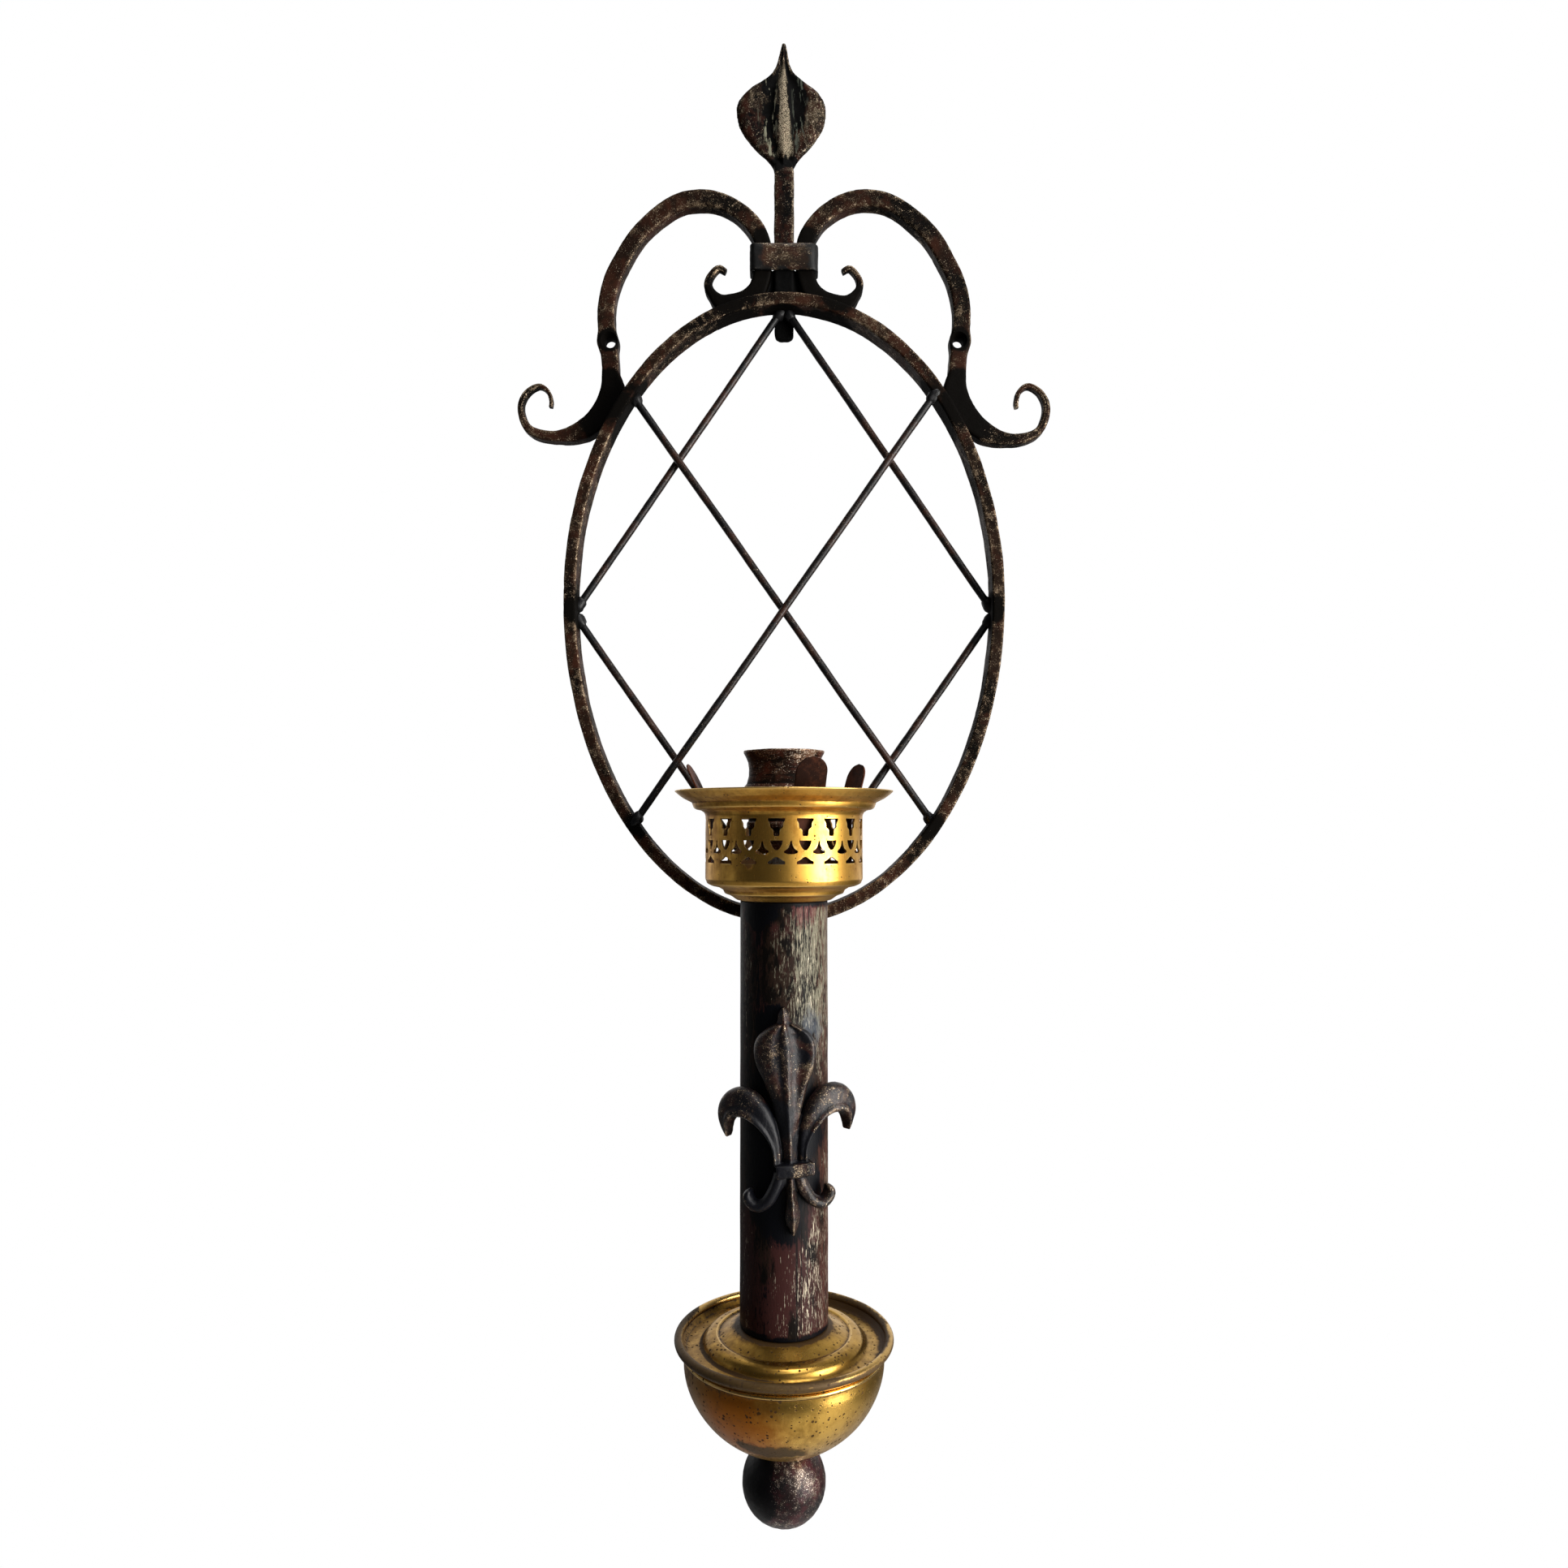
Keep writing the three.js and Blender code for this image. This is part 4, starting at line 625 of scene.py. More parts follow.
scroll_iron = iron_finish(
    "scroll_iron", (0.011, 0.006, 0.004), (0.026, 0.010, 0.006), (0.002, 0.0016, 0.0012),
    (0.130, 0.092, 0.058), (0.46, 0.36, 0.25), patch=50, grain=1900, bareness=-0.028, edge=0.08, rough=0.40)
for word, side in (("left", -1), ("right", 1)):
    bar = scroll(side)
    bar.name = f"forged_scroll_{word}"
    bar.data.materials.append(scroll_iron)
    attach(bar, "wall_frame")
    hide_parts(f"scroll_bar_{word}")

# Centre stem and leaf, one forging: the bar's head is beaten out into a leaf with a raised midrib and a
# long point, and its foot is filed half away to pass behind the ring, where it shows as a rounded tab.

leaf_foot = 69
leaf_tall = 67.3
leaf_half = 21.9
leaf_crest = 7.6
leaf_back_y = -0.6
stem_top, stem_foot = 77, 3.4
tab_top, tab_tall, tab_foot = 5, 19.8, -14.8
leaf_outline = [(0, 0.21), (0.04, 0.24), (0.1, 0.36), (0.16, 0.55), (0.22, 0.7), (0.28, 0.84), (0.34, 0.935),
                (0.4, 0.985), (0.46, 1), (0.52, 0.985), (0.58, 0.905), (0.64, 0.75), (0.7, 0.5), (0.76, 0.27),
                (0.82, 0.165), (0.88, 0.118), (0.94, 0.082), (0.985, 0.05), (1, 0.04)]
leaf_across = [(-1, 0.24), (-0.93, 0.44), (-0.8, 0.55), (-0.55, 0.52), (-0.3, 0.47), (-0.2, 0.53),
               (-0.1, 0.68), (0.06, 0.76), (0.16, 0.62), (0.26, 0.40), (0.4, 0.40), (0.6, 0.50), (0.8, 0.55),
               (0.93, 0.44), (1, 0.24)]
leaf_rib = [(0, 1), (0.2, 1), (0.6, 0.86), (0.8, 0.6), (1, 0.3)]


def smooth_read(table, share):
    """As read, but on a smooth line through the table."""
    for i, (s0, _) in enumerate(table[:-1]):
        s1 = table[i + 1][0]
        if share <= s1:
            return through(table, i + (share - s0) / (s1 - s0))[0].y
    return table[-1][1]


leaf_rings = []
for i in range(91):
    share = i / 90
    half = max(0.3, smooth_read(leaf_outline, share) * leaf_half)
    rib = read(leaf_rib, share) * leaf_crest
    middle = -1.7 * smooth_read(leaf_outline, share)
    wider = 1 + 0.035 * smooth_read(leaf_outline, share)
    z = leaf_foot + share * leaf_tall
    front = []
    for j in range(55):
        a = 1 - j / 27
        front.append((middle + a * half * (wider if j < 27 else 1),
                      leaf_back_y - smooth_read(leaf_across, a) * rib, z))
    back = [(middle + a * half, leaf_back_y, z) for a in (-0.86, -0.4, 0, 0.4, 0.86)]
    leaf_rings.append(front + back)
stem_rings = []
for z in [*np.arange(stem_top, 5, -1.2), 4, stem_foot]:
    into = max(0, (z - 68) / 9)
    stem_rings.append([(x - 0.5 * into, y - 4 + 2.4 * into, z)
                       for x, y in rounded_section(2 * stem_half - 1.2 * into, bar_deep - 5 * into, 1, 8, 6)])
tab_rings = []
for i in range(22):
    z = tab_top - i * tab_tall / 21
    pull = max(0, 1 - (z - tab_foot) / 3.4)
    half = 4.7 - 2.6 * (1 - math.sqrt(max(0, 1 - pull * pull)))
    tab_rings.append([(x, y - 2, z) for x, y in rounded_section(2 * half, 3.9, 0.8, 8, 3)])
fill_rings = []
for side in (-1, 1):
    for z in np.linspace(18.5, 2.6, 14):
        low = max(0, 1 - (z - 2.6) / 13) ** 1.6
        inner, outer = 3.8, 6.6 + 4.6 * low
        dip = 0.6 + 1.2 * low
        row = [(x, -2.2, z) for x in np.linspace(outer, inner, 7)]
        row += [(x, -6.6 + dip * math.sin(math.pi * k / 6), z)
                for k, x in enumerate(np.linspace(inner, outer, 7))]
        fill_rings.append([(side * x, y, z) for x, y, z in row])
fills = [skin("fill", fill_rings[:14]), skin("fill", fill_rings[14:])]


def melted(piece, voxel, passes):
    """Runs the bodies of a piece into one skin, as heat and hammer do, and softens where they meet."""
    merge = piece.modifiers.new("merge", "REMESH")
    merge.mode = "VOXEL"
    merge.voxel_size = voxel * MM
    soften = piece.modifiers.new("soften", "SMOOTH")
    soften.factor = 0.5
    soften.iterations = passes
    bpy.context.view_layer.update()
    whole = piece.evaluated_get(bpy.context.evaluated_depsgraph_get())
    piece.data = bpy.data.meshes.new_from_object(whole)
    piece.modifiers.clear()
    return piece


leaf = tidy(fused("leaf_and_stem", [
    skin("leaf", leaf_rings), skin("stem", stem_rings), skin("tab", tab_rings), *fills]))
melted(leaf, 0.45, 2)
tidy(leaf, 180)
forged(leaf, 0.3, 9, 12)
forged(leaf, 0.14, 2.2, 3, deep=0.5)
flat_back(leaf)
# The three rubbed spots on the leaf's right are painted highlight as well as wear.
mark_turns(leaf, reach=2.0, blur=8,
           worn_and_highlit=[(12, -4, 92, 5, 0.45), (15, -4, 100, 5, 0.45), (9, -4, 86, 4, 0.4)])
mark_soot_and_shade(leaf, [(0, -6, 12, 14), (7, -6, 8, 12), (-7, -6, 8, 12), (0, -8, 16, 10), (0, -3, -2, 12),
                 (0, -3, -12, 7), (-4, -5, 71, 4), (3, -4, 73, 4), (5, -4.5, 96, 5), (6, -4.5, 102, 5),
                 (6, -4.5, 108, 5), (5, -4, 114, 4.5), (-6, -4, 100, 3.5), (-6, -4, 93, 3.5),
                 (-7, -4, 112, 3.5), (-10, -3, 118, 4)])
leaf_iron = iron_finish(
    "leaf_iron", (0.008, 0.0048, 0.0034), (0.025, 0.0085, 0.0055), (0.0016, 0.0016, 0.0016),
    (0.10, 0.076, 0.050), (0.44, 0.35, 0.25), patch=80, grain=2100, bareness=-0.035, edge=0.12, rough=0.42,
    stretch=(1, 1, 0.7))
tree = leaf_iron.node_tree
surface = tree.nodes["Principled BSDF"]
stained = surface.inputs["Base Color"].links[0].from_socket
where = put(tree, "TexCoord").outputs["Object"]
place = put(tree, "SeparateXYZ", {0: where})
streaked = put(tree, "VectorMath", {0: where, 1: (1, 1, 0.22)}, operation="MULTIPLY").outputs[0]
streaks = cloud(tree, streaked, 420, 4, 0.65, 0.3)
pits = step_up(tree, cloud(tree, where, 2300, 2, 0.75), 0.46, 0.54)
tall = product(tree, place.outputs["Z"], 1000.0)
on_leaf = product(tree, step_up(tree, sum_of(tree, (tall, 1.0), (streaks, 8.0)), 80.5, 83),
                  step_up(tree, sum_of(tree, (tall, -1.0), (streaks, -12.0)), -131, -126))
across = sum_of(tree, (place.outputs["X"], 1000.0), (streaks, 3.4), (tall, 0.035))
from_rib = put(tree, "Math", {0: put(tree, "Math", {0: across, 1: -5.2}, operation="ADD").outputs[0]},
               operation="ABSOLUTE").outputs[0]
ragged = cloud(tree, streaked, 900, 3, 0.7)
rib = step_up(tree, sum_of(tree, (from_rib, -1.0), (tall, -0.055), (ragged, 1.6)), -7.7, -6.7)
rib = product(tree, product(tree, rib, on_leaf), pits)
stained = tint(tree, product(tree, rib, 0.85), stained, (0.30, 0.25, 0.175, 1))
for from_left, from_right, in_streaks, much, shade in (
        ((-0.014, -0.010), (0.003, 0.005), (0.53, 0.58), 0.8, (0.20, 0.195, 0.14, 1)),
        ((0.003, 0.006), (-0.013, -0.009), (0.55, 0.60), 0.7, (0.085, 0.095, 0.075, 1))):
    cheek = product(tree, step_up(tree, place.outputs["X"], *from_left),
                    step_up(tree, product(tree, place.outputs["X"], -1), *from_right))
    cheek = product(tree, product(tree, cheek, on_leaf), step_up(tree, streaks, *in_streaks))
    stained = tint(tree, product(tree, cheek, much), stained, shade)
tree.links.new(stained, surface.inputs["Base Color"])
leaf.data.materials.append(leaf_iron)
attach(leaf, "wall_frame")
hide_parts("leaf_finial")

# Collar: a strap of 1.8 mm iron folded hot round the three bars, its legs run back to the wall. The front is
# rubbed lighter than the bars beside it; the right fold carries a painted highlight and the left fold painted
# shade.

strap_thick = 1.8
strap_high = 13.4
strap_half = stem_half + bar_gap + bar_width + 0.6
strap_front = 8.3 + strap_thick


def folded(side, fold):
    """Half of the strap's inner line, from the wall round one fold to the middle, with its normals."""
    line = [(strap_half, 0, 1, 0)] + [(strap_half, -y, 1, 0) for y in (1.5, 3, 4.4)]
    for turn in range(0, 91, 9):
        a = math.radians(turn)
        line.append((strap_half - fold + fold * math.cos(a),
                     -(strap_front - strap_thick - fold) - fold * math.sin(a), math.cos(a), -math.sin(a)))
    line += [(x, -(strap_front - strap_thick), 0, -1) for x in np.linspace(strap_half - fold - 1.2, 0, 10)]
    return [(side * x, y, side * nx, ny) for x, y, nx, ny in line]


path = folded(1, 3.0) + folded(-1, 1.2)[-2::-1]
strap_section = rounded_section(strap_thick, strap_high, 0.55, 1, 16)
collar_rings = []
for x, y, nx, ny in path:
    crown = 0.7 * max(0, -ny) * (1 - (x / strap_half) ** 4)
    around = []
    for t, z in strap_section:
        out = t + strap_thick / 2
        drop = crown * (z / (strap_high / 2)) ** 4 if t > 0 else 0
        around.append((x + nx * out, y + ny * (out - drop), collar_middle + z))
    collar_rings.append(around)
collar = tidy(skin("folded_collar", collar_rings))
forged(collar, 0.22, 6, 21)
forged(collar, 0.1, 1.8, 4, deep=0.4)
tidy(collar)
flat_back(collar)
# The last spot, on the right fold, is a painted highlight, not wear.
mark_turns(collar, blur=4, worn_and_highlit=[(-7, -11, 27, 6, 0.3), (5, -11, 22, 6, 0.2), (12.4, -10, 26, 1.8, 1)])
# The spot at the front of the left fold, at x -15.5, is painted shade.
mark_soot_and_shade(collar, [(16.5, -4, 26, 8), (16.5, -4, 20, 8), (-16.5, -4, 26, 8), (-16.5, -4, 20, 8),
                   (-15.5, -10, 24, 3), (0, -5, 17, 5), (9, -5, 17, 5), (-9, -5, 17, 5)])
collar.data.materials.append(iron_finish(
    "collar_iron", (0.012, 0.007, 0.0045), (0.028, 0.011, 0.0065), (0.0016, 0.0016, 0.0016),
    (0.105, 0.074, 0.046), (0.46, 0.37, 0.26), patch=70, grain=2100, bareness=-0.01, edge=0.12, rough=0.34,
    stretch=(0.6, 1, 1), sheen=0.2))
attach(collar, "wall_frame")
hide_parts("collar_band")

# Standoff: a plain iron block, welded between the ring's lowest point and the back of the tube. It holds
# the column clear, so that the wide brass pieces pass in front of the ring.

block_low, block_high = -305.0, -287.0
block_wide = 16
block_section = rounded_section(block_wide, block_high - block_low, 2, 12, 14)
block_rings = []
for y in (ring_front_y - 0.4, -20, -24, -28, -33):
    block_rings.append([(x, y, (block_low + block_high) / 2 + z) for x, z in block_section])
standoff = tidy(skin("standoff_block", block_rings))
forged(standoff, 0.2, 5, 31)
tidy(standoff)
mark_turns(standoff)
mark_soot_and_shade(standoff, [(8, -17, -296, 6), (-8, -17, -296, 6), (8, -33, -296, 8), (-8, -33, -296, 8)])
standoff.data.materials.append(iron_finish(
    "block_iron", (0.022, 0.013, 0.010), (0.038, 0.018, 0.012), (0.007, 0.006, 0.006), (0.13, 0.10, 0.075),
    (0.40, 0.34, 0.28), patch=80, grain=1400, bareness=-0.02, edge=0.1))
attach(standoff, "wall_frame")
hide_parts("tube_standoff")

# Column tube: 1 1/2 inch steel tube, its stain rubbed lengthwise into fine streaks. Green grey above, blue
# black round the ornament, maroon and silver below, with thin dark lines along it right of the front. Its
# left side, away from the light, is darkened with painted shade.

axis_y = -50
tube_radius = 19.05
tube_bore = 17.45
tube_top, tube_bottom = -285.5, -466.9
inlet_radius = 4.75
inlet_z = tube_top - 52


def eased(profile, radius):
    """A closed outline with its corners rounded, as a spun or filed edge is."""
    eased_points = []
    count = len(profile)
    for i in range(count):
        before, at, after = (Vector(profile[(i + k) % count]) for k in (-1, 0, 1))
        back, ahead = before - at, after - at
        if back.length < 1e-6 or ahead.length < 1e-6:
            continue
        bend = math.degrees((-back).angle(ahead))
        if bend < 8 or (at.x < 0.01 and (before.x < 0.01 or after.x < 0.01)):
            eased_points.append((at.x, at.y))
            continue
        reach = min(radius, back.length * 0.45, ahead.length * 0.45)
        p, q = at + back.normalized() * reach, at + ahead.normalized() * reach
        for t in (0, 0.25, 0.5, 0.75, 1):
            r = p * (1 - t) ** 2 + at * 2 * t * (1 - t) + q * t * t
            eased_points.append((max(0, r.x), r.y))
    return eased_points


def filled(profile, gap):
    """A closed outline with points added, so that none lie further apart than gap."""
    points = []
    for (r0, z0), (r1, z1) in zip(profile, profile[1:] + profile[:1]):
        steps = max(1, math.ceil(math.hypot(r1 - r0, z1 - z0) / gap))
        points += [(r0 + (r1 - r0) * s / steps, z0 + (z1 - z0) * s / steps) for s in range(steps)]
    return points


def turned(name, profile, facets=144, ease=0.4, gap=3.0):
    """A closed outline of radius and height, turned about the column's axis."""
    outline = filled(eased(profile, ease), gap)
    rings = []
    for i in range(facets):
        a = 2 * math.pi * i / facets
        rings.append([(r * math.cos(a), axis_y + r * math.sin(a), z) for r, z in outline])
    return tidy(skin(name, rings, loop=True))


tube = turned("brushed_tube", [(tube_bore, tube_bottom), (tube_radius, tube_bottom), (tube_radius, tube_top),
                               (tube_bore, tube_top)], 160, 0.5, 2.5)
inlet_rings = [[(inlet_radius * math.cos(a), y, inlet_z + inlet_radius * math.sin(a))
                for a in (2 * math.pi * j / 40 for j in range(40))] for y in (-45, -25)]
tube = cut_out(tube, [tidy(skin("inlet", inlet_rings))])
forged(tube, 0.10, 14, 41)
tidy(tube)
mark_turns(tube)
mark_soot_and_shade(tube, [(0, -69, -362, 14), (-8, -67, -372, 11), (8, -67, -372, 11), (0, -69, -390, 15),
                 (-10, -66, -382, 12), (11, -66, -382, 11), (-9, -67, -402, 11), (9, -67, -402, 10),
                 (0, -69, -418, 11), (-6, -68, -412, 10), (-10, -66, -291, 6), (-5, -68, -290, 4),
                 (-14, -63, -290, 5), (-3.5, -69, -332, 4.5), (-8, -67, -337, 5)],
          [(tube_radius, tube_top, 0.7, 0, 360), (tube_radius, tube_bottom, 1.2, 0, 360)])

tube_finish, tree, surface = blank_finish("tube_finish")
surface.inputs["Specular IOR Level"].default_value = 0.08
where = put(tree, "TexCoord").outputs["Object"]
place = put(tree, "SeparateXYZ", {0: where})
drawn = put(tree, "VectorMath", {0: where, 1: (1, 1, 0.11)}, operation="MULTIPLY").outputs[0]
half_drawn = put(tree, "VectorMath", {0: where, 1: (1, 1, 0.35)}, operation="MULTIPLY").outputs[0]
wander = sum_of(tree, (place.outputs["Z"], 1000.0), (cloud(tree, half_drawn, 110, 4, 0.6), 60.0))
upper = step_up(tree, wander, -322, -300)
lower = step_up(tree, put(tree, "Math", {0: wander, 1: -1}, operation="MULTIPLY").outputs[0], 376, 392)
streaks = cloud(tree, drawn, 1900, 3, 0.72)
broad = cloud(tree, half_drawn, 75, 4, 0.62, 0.5)
mid = cloud(tree, half_drawn, 300, 5, 0.7, 0.4)
grains = cloud(tree, drawn, 2600, 2, 0.7)
turn = put(tree, "Attribute", attribute_name="turn").outputs["Fac"]
soot_and_shade_share = put(tree, "Attribute", attribute_name="soot_and_shade").outputs["Fac"]
from_left = sum_of(tree, (place.outputs["X"], 1000.0), (mid, -10.0))
# Painted shade: the left side, away from the light, gets less of the pale green and silver streaks, so it
# reads darker.
tube_painted_shade_left = step_up(tree, product(tree, from_left, -1), -3, 4)
dark_run = product(tree, step_up(tree, product(tree, from_left, -1), 10, 13),
                   step_up(tree, from_left, -20.5, -18))
colour = tint(tree, step_up(tree, mid, 0.45, 0.55), (0.004, 0.003, 0.0025, 1), (0.018, 0.010, 0.007, 1))
warm = sum_of(tree, (broad, 0.7), (mid, 0.3), (lower, 0.10))
colour = tint(tree, step_up(tree, warm, 0.50, 0.60), colour, (0.034, 0.012, 0.011, 1))
green = sum_of(tree, (streaks, 0.50), (broad, 0.14), (mid, 0.28), (grains, 0.26), (upper, 0.060),
               (soot_and_shade_share, -0.3), (tube_painted_shade_left, -0.08), (dark_run, -0.07))
colour = tint(tree, step_up(tree, green, 0.615, 0.66), colour, (0.150, 0.140, 0.100, 1))
silver = sum_of(tree, (streaks, 0.35), (grains, 0.45), (mid, 0.25), (lower, 0.02), (soot_and_shade_share, -0.15),
                (turn, 0.05), (tube_painted_shade_left, -0.04), (dark_run, -0.08), (upper, -0.012))
silver_share = step_up(tree, silver, 0.58, 0.62)
colour = tint(tree, silver_share, colour, (0.36, 0.31, 0.235, 1))
rust_run = step_up(tree, cloud(tree, drawn, 1100, 3, 0.7, 0.3), 0.49, 0.53)
colour = tint(tree, product(tree, product(tree, rust_run, step_up(tree, from_left, 8, 12)), 0.85), colour,
              (0.055, 0.022, 0.016, 1))
for spot, fall, broken, low, high, much, shade in (
        ((0.009, -0.067, -0.289), -120.0, grains, 1.0, 1.5, 0.75, (0.095, 0.028, 0.028, 1)),
        ((0.011, -0.0655, -0.338), -90.0, streaks, 1.15, 1.7, 0.6, (0.050, 0.062, 0.080, 1))):
    away = put(tree, "VectorMath", {0: where, 1: spot}, operation="DISTANCE").outputs["Value"]
    heat = sum_of(tree, (away, fall), (mid, 2.6), (broken, 1.2))
    colour = tint(tree, product(tree, step_up(tree, heat, low, high), much), colour, shade)
blackened = sum_of(tree, (soot_and_shade_share, 0.85), (broad, 0.6), (mid, 1.1), (streaks, 0.9), (dark_run, 0.22))
colour = tint(tree, step_up(tree, blackened, 1.53, 1.68), colour, (0.0020, 0.0022, 0.0034, 1))
lines_run = put(tree, "VectorMath", {0: where, 1: (1, 1, 0.012)}, operation="MULTIPLY").outputs[0]
lines = step_up(tree, cloud(tree, lines_run, 900, 1, 0.5), 0.60, 0.64)
right_of_front = product(tree, step_up(tree, place.outputs["X"], 0.0035, 0.005),
                         step_up(tree, product(tree, place.outputs["X"], -1), -0.0125, -0.0105))
lines = product(tree, lines, right_of_front)
colour = tint(tree, product(tree, lines, 0.85), colour, (0.004, 0.0035, 0.0035, 1))
tree.links.new(colour, surface.inputs["Base Color"])
tree.links.new(level(tree, silver_share, 0.45, 0.35), surface.inputs["Roughness"])
tree.links.new(level(tree, silver_share, 0, 0.45), surface.inputs["Metallic"])
relief = sum_of(tree, (streaks, 0.6), (grains, 0.3), (mid, 0.5), (lines, -0.8))
emboss(tree, surface, relief, 0.45, 0.4)
tube.data.materials.append(tube_finish)
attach(tube, "wall_frame")
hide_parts("column_tube")

# Fleur-de-lis: one iron casting, bent a little flatter than the tube and welded to it at the back. High
# places are rubbed to bare metal; these rubbed spots sit where the light catches the casting, so they are
# painted highlight as well as wear. The petal's right hollow is darkened with painted shade. It stands
# against the blackened middle of the tube.

fleur_z = tube_top - 107
fleur_shift = 2.5
fleur_lean = math.radians(2.5)
fleur_bend = 38
fleur_high = 5.6
petal_tall, petal_half = 63.6, 13.2
foot_tall, foot_half = 30.3, 3.2
arm_reach, arm_half = 29.6, 6.1
curl_reach, curl_half = 17.6, 2.6
petal = [(0, 0.23), (0.12, 0.27), (0.26, 0.36), (0.38, 0.5), (0.5, 0.68), (0.58, 0.84), (0.65, 0.96),
         (0.72, 1), (0.78, 0.94), (0.83, 0.78), (0.87, 0.5), (0.895, 0.26), (0.925, 0.2), (0.955, 0.19),
         (0.98, 0.12), (1, 0.03)]
arm = [(0.17, -0.02, 0.26), (0.18, 0.1, 0.31), (0.25, 0.21, 0.5), (0.38, 0.31, 0.74), (0.55, 0.372, 0.97),
       (0.72, 0.38, 1), (0.85, 0.345, 0.84), (0.915, 0.28, 0.6), (0.925, 0.22, 0.38), (0.905, 0.165, 0.14),
       (0.895, 0.15, 0.03)]
curl = [(0.2, 0.14, 0.9), (0.3, 0.32, 1), (0.5, 0.52, 0.95), (0.74, 0.6, 0.9), (0.92, 0.54, 0.9),
        (0.97, 0.46, 0.85), (0.93, 0.40, 0.5), (0.88, 0.40, 0.15)]
foot = [(0.1, 0.75), (0.3, 0.72), (0.5, 0.7), (0.62, 0.86), (0.74, 1), (0.85, 0.78), (0.94, 0.4), (1, 0.08)]
lobed = [(-1, 0.15), (-0.94, 0.4), (-0.82, 0.62), (-0.64, 0.78), (-0.44, 0.84), (-0.28, 0.74), (-0.17, 0.73),
         (-0.07, 0.86), (0.07, 0.86), (0.18, 0.66), (0.29, 0.50), (0.42, 0.46), (0.56, 0.56), (0.7, 0.76),
         (0.82, 0.82), (0.92, 0.6), (1, 0.15)]
ridged = [(-1, 0.2), (-0.85, 0.38), (-0.5, 0.60), (-0.25, 0.76), (-0.08, 0.87), (0.08, 0.87), (0.27, 0.75),
          (0.5, 0.60), (0.85, 0.38), (1, 0.2)]
plain = [(-1, 0.2), (-0.9, 0.55), (-0.6, 0.88), (0, 1), (0.6, 0.88), (0.9, 0.55), (1, 0.2)]
grooved = [(-1, 0.2), (-0.92, 0.46), (-0.75, 0.66), (-0.45, 0.78), (-0.1, 0.82), (0.25, 0.86), (0.5, 1),
           (0.76, 1), (0.93, 0.7), (1, 0.2)]


def bent_round(u, v, h):
    """A place across, up and out from the flat ornament, leaned over and bent round the tube's front."""
    u, v = (u * math.cos(fleur_lean) - v * math.sin(fleur_lean),
            u * math.sin(fleur_lean) + v * math.cos(fleur_lean))
    turn = (u + fleur_shift) / fleur_bend
    radius = fleur_bend + h
    centre = axis_y - tube_radius - seat_gap + fleur_bend
    return Vector((radius * math.sin(turn), centre - radius * math.cos(turn), fleur_z + v))


def limb(spine, section_table, crest, mirror=1, later=None, change=(0, 1)):
    """A petal along a line of places and half widths. Its section may change to a later one on the way."""
    rings = []
    count = len(spine) - 1
    for i in range(count * 6 + 1):
        at, ahead = through(spine, i / 6)
        half = max(at.z, 0.35)
        side = Vector((ahead.y, -ahead.x)).normalized() * mirror
        high = 1.6 + (crest - 1.6) * min(1, 0.35 + half / 6.1)
        share = min(1, max(0, (i / 6 - change[0]) / (change[1] - change[0])))
        front = []
        for j in range(41):
            a = 1 - j / 20
            raised = smooth_read(section_table, a)
            if later:
                raised += (smooth_read(later, a) - raised) * share
            front.append(bent_round(at.x + side.x * a * half, at.y + side.y * a * half, raised * high))
        back = [bent_round(at.x + side.x * a * half, at.y + side.y * a * half, -1.2) for a in (-1, 0, 1)]
        rings.append(front + back)
    return tidy(skin("limb", rings))


middle_petal = [(0, s * petal_tall, w * petal_half) for s, w in petal]
parts = [limb(middle_petal[:12], ridged, fleur_high, later=lobed, change=(2, 5.5)),
         limb(middle_petal[9:], ridged, fleur_high - 1.2),
         limb([(0, -s * foot_tall, w * foot_half) for s, w in foot], ridged, fleur_high)]
for side in (-1, 1):
    parts.append(limb([(side * o * arm_reach, u * petal_tall, w * arm_half) for o, u, w in arm],
                      grooved, fleur_high, side))
    parts.append(limb([(side * o * curl_reach - 0.8, -d * foot_tall, w * curl_half) for o, d, w in curl],
                      plain, fleur_high - 0.4))
    parts.append(limb([(side * 1.8, -3.5, 1.2), (side * 3.4, -6.5, 2.2), (side * 5, -10, 2),
                       (side * 5.6, -13, 0.6)], plain, 3.2))
band_rings = []
for i in range(19):
    u = 1.6 + (i / 18 - 0.5) * 14.0
    outline = rounded_section(5.4, 7.0, 1.0, 7, 9)
    band_rings.append([bent_round(u, v - 2.8 + 0.05 * u, h + 2.8) for v, h in outline])
parts.append(tidy(skin("band", band_rings)))
fleur = fused("fleur_casting", parts)
melted(fleur, 0.36, 7)
tidy(fleur, 180)
forged(fleur, 0.2, 5, 51)
# These rubbed spots are painted highlight as well as wear: they sit where the light catches the petal, the
# arms and the band.
mark_turns(fleur, reach=0.8, blur=10, worn_and_highlit=[
    *[(x, -76, fleur_z - 2.8 + 0.06 * x, 2.6, 0.62) for x in (-2, 1.5, 4.5, 7.5)], (9.5, -73, -354, 4, 0.5),
    (7, -74, -345, 2, 0.5), (17, -68, -367, 3, 0.5), (21, -66, -371, 2.5, 0.6), (-11, -68, -369, 2, 0.6),
    (-16, -67, -372, 1.6, 0.6), (-4, -74, -346, 4, 0.45), (8, -73, -379, 3, 0.6), (0, -76, -380, 2, 0.5)])
